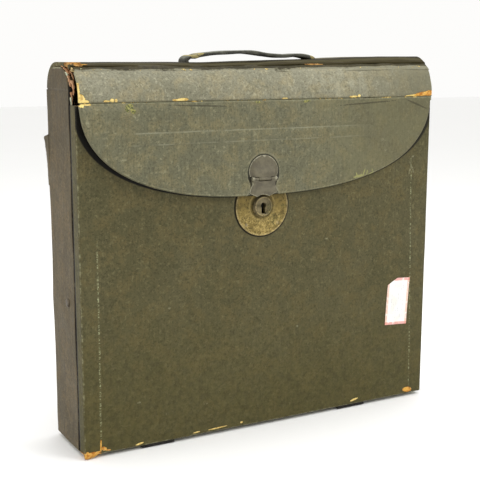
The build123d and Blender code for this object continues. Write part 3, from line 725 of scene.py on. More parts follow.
def under_flap(f, colour):
    """The front is darker under the closed flap as unfaded covering, reaching a little past the rim as painted shade,
    with a painted black shadow along the rim, strongest on the left. A painted shadow rings the lock plate, the front
    is darker towards the bottom, its turned-in edges by the rails are painted black as shadow, and it is rubbed over
    its rails.
    """
    x, z = f.axis("X"), f.axis("Z")
    shift = f.math("SUBTRACT", x, LOCK_X)
    left = f.math("MAXIMUM", f.math("DIVIDE", shift, FLAP_LOW.x - LOCK_X), 0.0)
    right = f.math("MAXIMUM", f.math("DIVIDE", shift, FLAP_HIGH.x - LOCK_X), 0.0)
    down = f.math("MAXIMUM", f.math("DIVIDE", f.math("SUBTRACT", CREASE.z, z), FLAP_DEEP_Z), 0.0)
    across = f.math("ADD", f.math("POWER", left, FLAP_LEFT_POWER), f.math("POWER", right, FLAP_RIGHT_POWER))
    level = f.math("ADD", across, f.math("POWER", down, 2.4))
    front = f.step(f.axis("Y"), FRONT_Y + 1.4 * MM, FRONT_Y + 0.9 * MM)
    # Darker under the flap as unfaded covering; it reaches a little past the rim as painted shade.
    unfaded_and_shade = f.math("MULTIPLY", f.step(level, 1.074, 1.048), front)
    colour = f.mix(f.math("MULTIPLY", unfaded_and_shade, 0.45), colour, (0.050, 0.046, 0.024))
    # Painted shadow: near black along the flap's rim, strongest on the left.
    rim = f.math("MULTIPLY", unfaded_and_shade, f.step(level, 0.80, 0.97))
    shadow_strength = f.math("ADD", 0.80, f.math("MULTIPLY", f.step(x, 10 * MM, -110 * MM), 0.16))
    colour = f.mix(f.math("MULTIPLY", rim, shadow_strength), colour, (0.004, 0.0035, 0.003))
    # Painted shadow: a dark ring round the lock plate's edge.
    edge_shadow = f.step(f.away(LOCK_X, LOCK_Z), PLATE_R + 2.0 * MM, PLATE_R + 0.9 * MM)
    colour = f.mix(f.math("MULTIPLY", edge_shadow, 0.9), colour, (0.006, 0.005, 0.003))
    low = f.step(z, 170 * MM, 10 * MM)
    colour = f.mix(f.math("MULTIPLY", low, 0.55), colour, f.mix(f.step(f.noise(5 * MM, 4.0, 0.7), 0.4, 0.62), (0.078, 0.067, 0.018), (0.046, 0.039, 0.010)))
    # Painted shadow: black on the covering's turned-in edge by the rails, in the gap to the walls.
    gap_shadow = f.step(f.axis("Y"), RAIL_Y - 2.6 * MM, RAIL_Y - 1.9 * MM)
    colour = f.mix(f.math("MULTIPLY", gap_shadow, 0.9), colour, (0.008, 0.005, 0.004))
    lines = f.math("MAXIMUM", worn_line(f, -160.7, 0.004, 12, 190, 1.0), worn_line(f, 160.6, -0.028, 8, 246, 1.4))
    return f.mix(f.math("MULTIPLY", lines, 0.85), colour, (0.34, 0.35, 0.20))


def hasp_outline(f, colour):
    """A painted shadow round the edge of the hasp, a paler ring outside it, and the chips by the crease."""
    x = f.math("ABSOLUTE", f.math("SUBTRACT", f.axis("X"), HASP_X + HASP_SHIFT))
    z = f.math("SUBTRACT", f.axis("Z"), HASP_Z)
    waist = f.math("MULTIPLY", f.step(z, -4 * MM, -11 * MM), f.step(z, -21 * MM, -14 * MM))
    half = f.math("SUBTRACT", HASP_R, f.math("MULTIPLY", waist, 2.6 * MM))
    up = f.math("MAXIMUM", z, 0.0)
    reach = f.math("SQRT", f.math("ADD", f.math("MULTIPLY", x, x), f.math("MULTIPLY", up, up)))
    away = f.math("SUBTRACT", reach, half)
    below = f.step(z, -25 * MM, -23 * MM)
    ring = f.math("MULTIPLY", f.step(f.math("ABSOLUTE", f.math("SUBTRACT", away, 1.9 * MM)), 1.1 * MM, 0.2 * MM), below)
    ring = f.math("MULTIPLY", ring, f.step(f.noise(8 * MM, 3.0, 0.6), 0.35, 0.6))
    colour = f.mix(f.math("MULTIPLY", ring, 0.22), colour, (0.34, 0.33, 0.24))
    # Painted shadow: near black just round the edge of the hasp.
    edge_shadow = f.math("MULTIPLY", f.step(away, 1.1 * MM, 0.55 * MM), below)
    colour = f.mix(f.math("MULTIPLY", edge_shadow, 0.9), colour, (0.008, 0.007, 0.004))
    colour = f.mix(f.math("MULTIPLY", f.patches(FLAP_SCRATCH), 0.75), colour, (0.42, 0.42, 0.14))
    ribs = f.node("ShaderNodeTexWave", wave_type="BANDS", bands_direction="X", wave_profile="SIN")
    f.feed(ribs.inputs["Vector"], f.place)
    ribs.inputs["Scale"].default_value = 1 / (2 * math.pi * 2.1 * MM) * 3.14
    ribs.inputs["Distortion"].default_value = 0.8
    ribs.inputs["Detail"].default_value = 2.0
    ribbed = f.math("MULTIPLY", f.step(f.axis("X"), 10 * MM, 100 * MM), f.step(f.noise(24 * MM, 3.0, 0.6), 0.38, 0.60))
    strong = f.math("MULTIPLY", f.step(ribs.outputs[1], 0.55, 0.95), ribbed)
    colour = f.mix(f.math("MULTIPLY", strong, 0.46), colour, (0.27, 0.26, 0.13))
    right = f.step(f.axis("X"), 20 * MM, 130 * MM)
    colour = f.mix(f.math("MULTIPLY", right, 0.55), colour, (0.104, 0.094, 0.046))
    # Painted shade in the flap's creases.
    colour = f.mix(f.math("MULTIPLY", f.patches(FLAP_CREASE_SHADOWS), 0.6), colour, (0.030, 0.027, 0.014))
    chips = f.patches(FLAP_CHIPS)
    chip_tone = f.mix(f.step(f.noise(1.6 * MM, 3.0, 0.7), 0.42, 0.6), (0.030, 0.045, 0.008), (0.30, 0.28, 0.08))
    colour = f.mix(f.math("MULTIPLY", chips, 0.8), colour, chip_tone)
    return bar_lines(f, colour)


def bar_lines(f, colour):
    """Two pale rubbed lines over the edges of the stiff bar behind the covering."""
    x, z = f.axis("X"), f.axis("Z")
    wander = f.math("MULTIPLY", f.math("SUBTRACT", f.noise(60 * MM, 3.0, 0.5, stretch=(1, 1e3, 1e3)), 0.5), 2.0 * MM)
    place = f.math("SUBTRACT", f.math("SUBTRACT", z, (BAR_LOW.z + BAR_HIGH.z) / 2), wander)
    off = f.math("SUBTRACT", f.math("ABSOLUTE", place), (BAR_HIGH.z - BAR_LOW.z) / 2)
    line = f.step(f.math("ABSOLUTE", off), 0.75 * MM, 0.2 * MM)
    span = f.math("MULTIPLY", f.step(x, BAR_LOW.x - 4 * MM, BAR_LOW.x + 2 * MM), f.step(x, BAR_HIGH.x + 4 * MM, BAR_HIGH.x - 50 * MM))
    broken = f.step(f.noise(7 * MM, 4.0, 0.7, stretch=(3, 1, 1)), 0.36, 0.56)
    return f.mix(f.math("MULTIPLY", f.math("MULTIPLY", line, span), f.math("MULTIPLY", broken, 0.42)), colour, (0.28, 0.28, 0.19))


def painted_fold_shade(f, colour):
    """The lid's front edge is creased where it folds to the band, and painted dark there as shade, with a near black
    painted shadow line along one crease.
    """
    wrinkle = f.noise(7 * MM, 3.0, 0.6, stretch=(5, 1, 1))
    shifted = f.math("ADD", f.axis("Y"), f.math("MULTIPLY", f.math("SUBTRACT", wrinkle, 0.5), 9 * MM))
    # Painted shade: dark over the lid's curved front.
    near = f.step(shifted, SEAM.y + 24 * MM, SEAM.y + 14 * MM)
    colour = f.mix(f.math("MULTIPLY", near, 0.88), colour, (0.026, 0.020, 0.006))
    ridge = f.step(f.math("ABSOLUTE", f.math("SUBTRACT", shifted, SEAM.y + 7 * MM)), 2.4 * MM, 0.8 * MM)
    colour = f.mix(f.math("MULTIPLY", ridge, 0.5), colour, (0.075, 0.066, 0.030))
    # Painted shadow: a near black line along a crease.
    groove = f.step(f.math("ABSOLUTE", f.math("SUBTRACT", shifted, SEAM.y + 11.5 * MM)), 1.6 * MM, 0.5 * MM)
    return f.mix(f.math("MULTIPLY", groove, 0.85), colour, (0.004, 0.003, 0.002))


def wall_shade(f, colour):
    """The walls are darker near the top, with upright streaks, and black where their front edges turn in, as painted
    shadow.
    """
    high = f.step(f.axis("Z"), 210 * MM, 320 * MM)
    colour = f.mix(f.math("MULTIPLY", high, 0.34), colour, (0.040, 0.030, 0.016))
    streak = f.step(f.noise(3.0 * MM, 4.0, 0.7, stretch=(1, 1, 22)), 0.46, 0.66)
    colour = f.mix(f.math("MULTIPLY", streak, 0.45), colour, (0.058, 0.046, 0.026))
    # Painted shadow: black where the wall's front edge turns in, in the gap to the front.
    gap_shadow = f.step(f.axis("Y"), WALL_FRONT + 1.3 * MM, WALL_FRONT + 0.6 * MM)
    return f.mix(f.math("MULTIPLY", gap_shadow, 0.92), colour, (0.006, 0.004, 0.003))


def band_shade(f, colour):
    """The band is browner towards its right end, and rubbed pale in its middle."""
    right = f.step(f.axis("X"), 70 * MM, 165 * MM)
    colour = f.mix(f.math("MULTIPLY", right, 0.62), colour, (0.130, 0.122, 0.074))
    rubs = f.step(f.noise(9 * MM, 5.0, 0.7, stretch=(1, 1, 2.2)), 0.50, 0.66)
    middle = f.step(f.math("ABSOLUTE", f.math("SUBTRACT", f.axis("X"), 50 * MM)), 80 * MM, 20 * MM)
    return f.mix(f.math("MULTIPLY", f.math("MULTIPLY", rubs, middle), 0.4), colour, (0.36, 0.35, 0.25))


OLIVE = (0.093, 0.083, 0.040)
OLIVE_DEEP = (0.078, 0.070, 0.031)
FLAP_TONE = (0.150, 0.143, 0.086)
FLAP_DEEP = (0.122, 0.118, 0.070)
LID_TONE = (0.100, 0.090, 0.044)
LID_DEEP = (0.080, 0.072, 0.034)
BAND_TONE = (0.235, 0.225, 0.156)
BAND_DEEP = (0.185, 0.177, 0.118)
WALL_TONE = (0.112, 0.088, 0.050)
WALL_DEEP = (0.086, 0.068, 0.037)

FRONT_CLOTH = leathercloth("front_leathercloth", OLIVE, OLIVE_DEEP, FRONT_BARE, FRONT_PALE, 0.6, under_flap, shine=0.14, old_beyond=150 * MM)
WALL_CLOTH = leathercloth("wall_leathercloth", WALL_TONE, WALL_DEEP, WALL_BARE, (), 0.7, wall_shade, straw=STRAW_OLD, shine=0.16)
FLAP_CLOTH = leathercloth("flap_leathercloth", FLAP_TONE, FLAP_DEEP, FLAP_BARE, FLAP_PALE, 1.0, hasp_outline)
BAND_CLOTH = leathercloth("band_leathercloth", BAND_TONE, BAND_DEEP, BAND_BARE, (), 0.5, band_shade, old_beyond=150 * MM, both_ends=False)
LID_CLOTH = leathercloth("lid_leathercloth", LID_TONE, LID_DEEP, LID_BARE, (), 0.5, painted_fold_shade, straw=STRAW_DEEP, shine=0.06)
FOLD_CLOTH = leathercloth("fold_leathercloth", (0.060, 0.054, 0.030), (0.030, 0.026, 0.014), (), (), 0.3)
SEAM_CLOTH = leathercloth("seam_leathercloth", (0.050, 0.044, 0.022), (0.026, 0.022, 0.010), (), (), 0.3, edge_tone=BAND_TONE, shine=0.10)
STRAW = strawboard("strawboard", ((0.47, 0.36, 0.17), (0.36, 0.26, 0.11)))
OLD_STRAW = strawboard("old_strawboard", STRAW_OLD)
BRASS = brass_finish("old_brass", (0.200, 0.145, 0.042), (0.115, 0.085, 0.025), 0.75)
# A brighter copy of the brass, for a painted highlight on the plate's rolled rim and the collar's lip.
BRASS_HIGHLIGHT = brass_finish("rubbed_brass", (0.33, 0.26, 0.12), (0.15, 0.115, 0.045), 0.4)
BRASS_DARK = brass_finish("collar_brass", (0.20, 0.165, 0.095), (0.085, 0.07, 0.035), 0.6)
JAPANNED = japanned("japanned_metal")
STEEL = steel()
STUD = steel("stud_metal", (0.13, 0.11, 0.08), (0.05, 0.038, 0.026))
# Nearly black steel for the lock's inner parts: painted shade seen through the keyhole.
KEYHOLE_SHADE_STEEL = steel("black_steel", (0.012, 0.010, 0.008), (0.005, 0.004, 0.003))
STRAP = strap_leather("strap_leather", ((-60, 328.5, 5.5, 1.8, -18, 0.9), (-52, 330, 3.0, 1.2, 20, 0.9), (60, 328, 3.0, 2.0, 0, 0.9)))
# Nearly black: painted shade under the case's front edge, where the foot strips show.
FOOT_SHADE_LEATHER = strap_leather("foot_leather", (), (0.014, 0.012, 0.010), (0.006, 0.005, 0.004))
LINING = plain_cloth("lining_paper", (0.33, 0.28, 0.185), (0.25, 0.205, 0.13))
GUSSET_CLOTH = plain_cloth("gusset_cloth", (0.016, 0.013, 0.011), (0.006, 0.005, 0.004))
TORN_PINK = plain_cloth("torn_cloth", (0.62, 0.36, 0.20), (0.34, 0.15, 0.06))
TORN_WHITE = plain_cloth("torn_backing", (0.60, 0.62, 0.46), (0.30, 0.30, 0.16))
WOOD = rail_wood()


# ---------------------------------------------------------------- front and body coverings
def u_rows(half, y_open, y_shut, inset, corner, step):
    """Plan of a covering that wraps a face and its two sides, drawn in by an inset."""
    wide = half - inset
    toward = 1 if y_shut > y_open else -1
    shut = y_shut - toward * inset
    cut, run = arc(corner, 7)
    deep = abs(y_shut - y_open)
    sides = lines(0, 1, step / deep)[:-1]
    side_y = y_open + sides * (shut - toward * corner - y_open)
    left = [(-wide, y) for y in side_y]
    turn = [(-wide + c, shut - toward * corner + toward * r) for c, r in zip(cut, run)]
    face = [(x, shut) for x in lines(-half + corner, half - corner, step)[1:-1] * (wide - corner) / (half - corner)]
    right = [(-x, y) for x, y in (left + turn)][::-1]
    return np.array(left + turn + face + right)


def wrapped(half, y_open, y_shut, low, high, corner, step, displace, flip, z_lines=None):
    """Covering round a face and two sides, and turned in under the bottom."""
    cut, run = arc(corner, 6)
    deep = abs(y_shut - y_open)
    rows = [(inset, low) for inset in lines(deep * 0.97, corner, step * 2)[:-1]]
    rows += [(corner - r, low + c) for c, r in zip(cut, run)]
    uprights = z_lines if z_lines is not None else lines(low + corner, high, step)[1:]
    rows += [(0.0, z) for z in uprights]
    grid = []
    for inset, z in rows:
        plan = u_rows(half, y_open, y_shut, inset, corner, step)
        grid.append(np.column_stack([plan, np.full(len(plan), z)]))
    points = np.array(grid)
    normal = grid_normals(points) * (-1 if flip else 1)
    points = points + normal * displace(points)[..., None]
    return points


def edge_wear(points, low, high, centre_y, half, width=3.0 * MM):
    """Wear near a covering's sharp upright and bottom edges."""
    x, y, z = points[..., 0], points[..., 1], points[..., 2]
    upright = smooth(np.hypot(half - np.abs(x), y - centre_y), width, 0)
    foot = smooth(z - low, width, 0) * 0.7
    return np.maximum(upright * 0.62, foot)


def front_skin():
    """Covering of the front: telegraphs the rails behind it and is rubbed along its edges."""
    def displace(points):
        x, z = points[..., 0], points[..., 2]
        front = smooth(points[..., 1], FRONT_Y + 3 * MM, FRONT_Y)
        wander = ripple(points, 90 * MM, 5) * 0.8 * MM
        left = bump(x + wander, -160.5 * MM, 1.6 * MM)
        right = bump(x + wander * 1.6, 156.5 * MM, 1.8 * MM)
        ridge = (left * 0.32 + right * 0.22) * smooth(z, 282 * MM, 250 * MM)
        hollow = bump(x, -153 * MM, 9 * MM) * -0.12
        waves = ripple(points, 120 * MM, 11) * 0.22 + ripple(points, 28 * MM, 12) * 0.06
        return np.maximum(front * (ridge + hollow + waves * 0.8), -0.1) * MM

    open_y = RAIL_Y - 0.8 * MM
    points = wrapped(HALF_WIDTH, open_y, FRONT_Y, BASE_Z, FRONT_HIGH.z, 1.3 * MM, 2.4 * MM, displace, True)
    wear = edge_wear(points, BASE_Z, FRONT_HIGH.z, FRONT_Y, HALF_WIDTH)
    hole = lock_hole(points)
    vertices, faces, used = shell(points, SKIN, True, ~hole)
    both = np.concatenate([wear.reshape(-1)] * 2)[used]
    piece = add_piece("front_skin", vertices, faces, FRONT_CLOTH, "case", "leathercloth", both)
    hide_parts("front_covering")
    return piece


def lock_hole(points):
    """Grid faces behind the lock plate, where the covering is cut away for the lock case."""
    low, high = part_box("lock_case")
    middle = (points[1:, 1:] + points[:-1, :-1]) / 2
    x, y, z = middle[..., 0], middle[..., 1], middle[..., 2]
    inside = (x > low[0]) & (x < high[0]) & (z > low[2]) & (z < high[2])
    return inside & (y < FRONT_Y + 2 * MM)


def wall_profile(z):
    """Front and back limits of a side wall at a height near its rounded top."""
    front = WALL_FRONT + SIDE_RADIUS
    low = WALL_TOP - SIDE_RADIUS
    y_front = front - math.sqrt(max(SIDE_RADIUS**2 - max(z - low, 0) ** 2, 0))
    inner = WALL_TOP - HINGE.z
    y_back = BACK_Y - BACK_RADIUS + math.sqrt(max(inner**2 - max(z - HINGE.z, 0) ** 2, 0))
    return y_front, y_back


def body_skin():
    """Covering of the back, sides and bottom, with the walls' rounded tops."""
    def displace(points):
        x, y, z = points[..., 0], points[..., 1], points[..., 2]
        waves = ripple(points, 110 * MM, 21) * 0.3 + ripple(points, 30 * MM, 22) * 0.08
        fade = smooth(z, top, top - 30 * MM)
        return np.maximum(waves * fade, -0.15) * MM

    top = HINGE.z - 0.2 * MM
    points = wrapped(HALF_WIDTH, WALL_FRONT, BACK_Y, BASE_Z, top, 1.3 * MM, 2.6 * MM, displace, False)
    wear = edge_wear(points, BASE_Z, top, BACK_Y, HALF_WIDTH)
    vertices, faces, used = shell(points, SKIN)
    parts = [(vertices, faces, np.concatenate([wear.reshape(-1)] * 2)[used])]
    for side in (-1, 1):
        rows = []
        for turn in np.linspace(0, 1, 15):
            z = top + (WALL_TOP - top) * math.sin(turn * math.pi / 2)
            y_front, y_back = wall_profile(z)
            rows.append([(side * HALF_WIDTH, y, z) for y in np.linspace(y_front, y_back, 26)])
        grid = np.array(rows)
        worn = smooth(WALL_TOP - grid[..., 2], 4 * MM, 0) * 0.8
        vertices, faces, used = shell(grid, SKIN, side > 0)
        parts.append((vertices, faces, np.concatenate([worn.reshape(-1)] * 2)[used]))
        parts.append(wall_edge(side, top))
    vertices, faces, wear = join(*parts)
    piece = add_piece("body_skin", vertices, faces, WALL_CLOTH, "case", "leathercloth", wear)
    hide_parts("body_covering")
    return piece


def wall_edge(side, top):
    """Covering turned in over a side wall's front edge and rounded top corner."""
    places = [(WALL_FRONT, z) for z in lines(BASE_Z + 4 * MM, top, 6 * MM)]
    for turn in np.radians(np.linspace(4, 90, 14)):
        y = WALL_FRONT + SIDE_RADIUS * (1 - math.cos(turn))
        places.append((y, WALL_TOP - SIDE_RADIUS + SIDE_RADIUS * math.sin(turn)))
    places += [(y, WALL_TOP) for y in np.linspace(WALL_FRONT + SIDE_RADIUS, BACK_ARC[0], 6)[1:]]
    across = np.linspace(HALF_WIDTH - 0.1 * MM, HALF_WIDTH - 4.2 * MM, 5)
    grid = np.array([[(side * x, y, z) for x in across] for y, z in places])
    lift = bump(across, HALF_WIDTH - 2 * MM, 2.2 * MM) * 0.25 * MM
    grid[..., 1] -= lift[None, :]
    worn = np.tile(smooth(across, HALF_WIDTH - 1.5 * MM, HALF_WIDTH) * 0.55, (len(places), 1))
    vertices, faces, used = shell(grid, 0.3 * MM, side < 0)
    return vertices, faces, np.concatenate([worn.reshape(-1)] * 2)[used]


# ---------------------------------------------------------------- lid, band and fold strips
FRONT_ARC = (CREASE.y + FRONT_RADIUS, TOP_Z - FRONT_RADIUS)
BACK_ARC = (BACK_Y - BACK_RADIUS, HINGE.z)
SEAM_TURN = math.degrees(math.asin((SEAM.z - FRONT_ARC[1]) / FRONT_RADIUS))


def round_the_top(start, end, step):
    """Places (y, z) and outward directions along the lid and band, by distance from the back fold."""
    back = math.radians(90) * BACK_RADIUS
    flat = BACK_ARC[0] - FRONT_ARC[0]
    round_front = math.radians(90) * FRONT_RADIUS
    places = []
    for s in lines(start, end, step):
        if s < back:
            turn = s / BACK_RADIUS
            out = (math.cos(turn), math.sin(turn))
            at = (BACK_ARC[0] + BACK_RADIUS * out[0], BACK_ARC[1] + BACK_RADIUS * out[1])
        elif s < back + flat:
            out = (0.0, 1.0)
            at = (BACK_ARC[0] - (s - back), TOP_Z)
        elif s < back + flat + round_front:
            turn = math.pi / 2 + (s - back - flat) / FRONT_RADIUS
            out = (math.cos(turn), math.sin(turn))
            at = (FRONT_ARC[0] + FRONT_RADIUS * out[0], FRONT_ARC[1] + FRONT_RADIUS * out[1])
        else:
            out = (-1.0, 0.0)
            at = (CREASE.y, FRONT_ARC[1] - (s - back - flat - round_front))
        places.append((*at, *out))
    return np.array(places)


SEAM_RUN = (
    math.radians(90) * BACK_RADIUS
    + BACK_ARC[0]
    - FRONT_ARC[0]
    + math.radians(90 - SEAM_TURN) * FRONT_RADIUS
)
SEAM_GAP = 3.2 * MM
CREASE_RUN = SEAM_RUN + math.radians(SEAM_TURN) * FRONT_RADIUS + FRONT_ARC[1] - CREASE.z


def hemmed(start, end, half, thick, step, displace):
    """A covering strip along the lid's profile, its two ends turned down over the board."""
    profile = round_the_top(start, end, step)
    cut, run = arc(EDGE_ROUND, 5)
    edge = [(half, depth) for depth in lines(thick, EDGE_ROUND, 0.8 * MM)[:-1]]
    edge += [(half - c, EDGE_ROUND - r) for c, r in zip(cut, run)]
    across = [(-x, d) for x, d in edge]
    across += [(x, 0.0) for x in lines(-half + EDGE_ROUND, half - EDGE_ROUND, step)[1:-1]]
    across += edge[::-1]
    across = np.array(across)
    grid = np.zeros((len(profile), len(across), 3))
    grid[..., 0] = across[None, :, 0]
    for k in (0, 1):
        grid[..., 1 + k] = profile[:, k, None] - profile[:, 2 + k, None] * across[None, :, 1]
    lift = displace(grid) * smooth(across[:, 1], 0.6 * MM, 0)[None, :]
    for k in (0, 1):
        grid[..., 1 + k] += profile[:, 2 + k, None] * lift
    return grid


def top_bulge(points):
    """The lid has warped: its right end stands higher than its left."""
    x, y = points[..., 0], points[..., 1]
    rise = smooth(x, -60 * MM, 168 * MM) * 5.2 * MM
    return rise * smooth(y, BACK_Y, BACK_Y - 18 * MM) * (0.55 + 0.45 * smooth(y, SEAM.y, SEAM.y + 14 * MM))


def lid_skin():
    def displace(points):
        y = points[..., 1]
        waves = ripple(points, 80 * MM, 31) * 0.2 + ripple(points * (0.35, 1, 1), 9 * MM, 32) * 0.05
        front = smooth(y, SEAM.y + 12 * MM, SEAM.y)
        creases = ripple(points * (0.22, 1, 1), 7 * MM, 33) * 0.35 * front
        by_hinge = smooth(points[..., 2], HINGE.z + 1 * MM, HINGE.z + 15 * MM)
        return top_bulge(points) + (waves * by_hinge + creases) * MM

    grid = hemmed(0.5 * MM, SEAM_RUN - SEAM_GAP, LID_HIGH.x, LID_THICK, 2.0 * MM, displace)
    x = np.abs(grid[..., 0])
    ends = smooth(LID_HIGH.x - x, 2 * MM, 0) * 0.45
    wear = np.maximum(ends, smooth(grid[..., 1], SEAM.y + 2.5 * MM, SEAM.y + 1 * MM) * 0.45)
    keep = ~slot_holes(grid)
    vertices, faces, used = shell(grid, SKIN, False, keep)
    piece = add_piece(
        "lid_skin", vertices, faces, LID_CLOTH, "lid", "leathercloth", np.concatenate([wear.reshape(-1)] * 2)[used]
    )
    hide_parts("lid_covering")
    return piece


def slot_holes(points):
    """Grid faces over the two slots that the strap passes through."""
    low, high = (Vector(corner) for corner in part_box("handle_strap"))
    middle = (points[1:, 1:] + points[:-1, :-1]) / 2
    x, y, z = middle[..., 0], middle[..., 1], middle[..., 2]
    left = np.abs(x - (low.x + 1.7 * MM)) < 2.4 * MM
    right = np.abs(x - (high.x - 1.7 * MM)) < 2.4 * MM
    return (left | right) & (np.abs(y) < high.y + 0.5 * MM) & (z > TOP_Z - 4 * MM)


def band_skin():
    def displace(points):
        waves = ripple(points, 60 * MM, 41) * 0.25
        creases = ripple(points * (1, 0.3, 0.3), 14 * MM, 42) * 0.10
        rise = smooth(points[..., 0], -60 * MM, 168 * MM) * smooth(points[..., 2], SEAM.z - 14 * MM, SEAM.z) * 2.86
        return (waves + creases) * MM * smooth(points[..., 2], CREASE.z, CREASE.z + 6 * MM) + rise * MM

    grid = hemmed(SEAM_RUN + SEAM_GAP, CREASE_RUN - 0.8 * MM, FLAP_HIGH.x, BAND_THICK, 1.6 * MM, displace)
    x = np.abs(grid[..., 0])
    ends = smooth(FLAP_HIGH.x - x, 2.5 * MM, 0) * 0.75
    low = smooth(grid[..., 2], CREASE.z + 2.4 * MM, CREASE.z) * 0.72
    high = smooth(grid[..., 2], SEAM.z - 2.5 * MM, SEAM.z) * 0.35
    wear = np.maximum(np.maximum(ends, low), high)
    vertices, faces, used = shell(grid, SKIN)
    piece = add_piece(
        "band_skin", vertices, faces, BAND_CLOTH, "band", "leathercloth", np.concatenate([wear.reshape(-1)] * 2)[used]
    )
    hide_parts("band_covering")
    return piece


def fold_strip(name, profile, half, material, seed, depth=0.25 * MM, wear_level=0.5, rise=0.0):
    """Cloth that joins two folding parts: a strip along X whose section is given by (y, z) places."""
    xs = lines(-half, half, 1.6 * MM)
    section = np.array(profile)
    grid = np.zeros((len(section), len(xs), 3))
    grid[..., 0] = xs[None, :]
    grid[..., 1] = section[:, 0, None]
    grid[..., 2] = section[:, 1, None]
    normal = grid_normals(grid)
    share = np.sin(np.linspace(0, math.pi, len(section)))[:, None]
    grid += normal * (ripple(grid * (0.5, 1, 1), 8 * MM, seed) * depth * share + smooth(grid[..., 0], -60 * MM, 168 * MM) * rise)[..., None]
    level = np.broadcast_to(wear_level, len(section))[:, None]
    wear = level * np.ones(grid.shape[:2]) + ripple(grid, 30 * MM, seed + 1) * 0.2 * share
    vertices, faces, used = shell(grid, 0.4 * MM)
    piece = add_piece(name, vertices, faces, material, None, "leathercloth", np.concatenate([wear.reshape(-1)] * 2)[used])
    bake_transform(piece)
    return piece


def profile_places(start, end, count, sink=0.35 * MM):
    """Section of a fold strip along the lid's profile, a little below the coverings."""
    rows = round_the_top(start, end, abs(end - start) / (count - 1))
    return [(y - out_y * sink, z - out_z * sink) for y, z, out_y, out_z in rows]


def fold_strips():
    back = [(BACK_Y - 0.35 * MM, HINGE.z + d * MM) for d in (-4.5, -3, -1.5, -0.5, 0.3)]
    back += profile_places(1.2 * MM, 4.5 * MM, 4)
    fold_strip("back_fold", back, HALF_WIDTH - 1.2 * MM, WALL_CLOTH, 51)
    seam = profile_places(SEAM_RUN - 5.5 * MM, SEAM_RUN + 5.5 * MM, 13, 0.25 * MM)
    worn = np.where(np.arange(len(seam)) < 7, 0.1, 0.8)
    fold_strip("seam_fold", seam, FLAP_HIGH.x - 0.4 * MM, SEAM_CLOTH, 53, 0.35 * MM, worn, 2.8 * MM)
    y = CREASE.y + 0.55 * MM
    crease = [(y, CREASE.z + d * MM) for d in (3.2, 2.2, 1.2, 0.5)]
    crease += [(y + 0.15 * MM, CREASE.z)]
    crease += [(y, CREASE.z - d * MM) for d in (0.5, 1.2, 2.2, 3.2)]
    fold_strip("crease_fold", crease, FLAP_HIGH.x - 0.6 * MM, FOLD_CLOTH, 55, 0.15 * MM, 0.9)


# ---------------------------------------------------------------- half-moon flap
def flap_bow(x, z):
    """How far the flap stands off the front: its left end has warped outwards."""
    down = (CREASE.z - z) / (CREASE.z - FLAP_LOW.z)
    left = smooth(x, -10 * MM, -165 * MM)
    return (left * (0.5 + 0.5 * smooth(down, 0.0, 0.5)) * smooth(down, 0, 0.08)) * 4.6 * MM


def flap_grid(step):
    """Grid of the half-moon: columns from the crease to the rim, then round the rim to the back."""
    near = np.concatenate([lines(0, 0.90, step / (170 * MM))[:-1], 1 - (1 - 0.90) * np.linspace(1, 0, 22) ** 1.8])
    left_half = LOCK_X - FLAP_LOW.x
    right_half = FLAP_HIGH.x - LOCK_X
    xs = np.concatenate([LOCK_X - left_half * near[::-1], (LOCK_X + right_half * near)[1:]])
    deep = FLAP_DEEP_Z
    rim = np.column_stack([xs, CREASE.z - 0.3 * MM - deep * half_moon(xs)])
    rim[:, 0] -= smooth(xs, 130 * MM, FLAP_HIGH.x) * 2.6 * MM
    rim[:, 1] = np.minimum(rim[:, 1], CREASE.z - 1.2 * MM)
    slope = np.gradient(rim, axis=0)
    out = np.column_stack([slope[:, 1], -slope[:, 0]])
    out /= np.linalg.norm(out, axis=1, keepdims=True)
    radius = min(EDGE_ROUND, FLAP_THICK * 0.8)
    base = rim - out * radius
    rows = []
    for share in np.linspace(0, 1, int(deep / step)):
        z = (CREASE.z - 0.3 * MM) * (1 - share) + base[:, 1] * share
        rows.append(np.column_stack([base[:, 0], np.full(len(xs), CREASE.y), z]))
    for turn in np.radians(np.linspace(0, 90, 6))[1:]:
        edge = base + out * radius * math.sin(turn)
        rows.append(np.column_stack([edge[:, 0], np.full(len(xs), CREASE.y + radius * (1 - math.cos(turn))), edge[:, 1]]))
    last = rows[-1].copy()
    last[:, 1] = CREASE.y + FLAP_THICK
    rows.append(last)
    return np.array(rows)


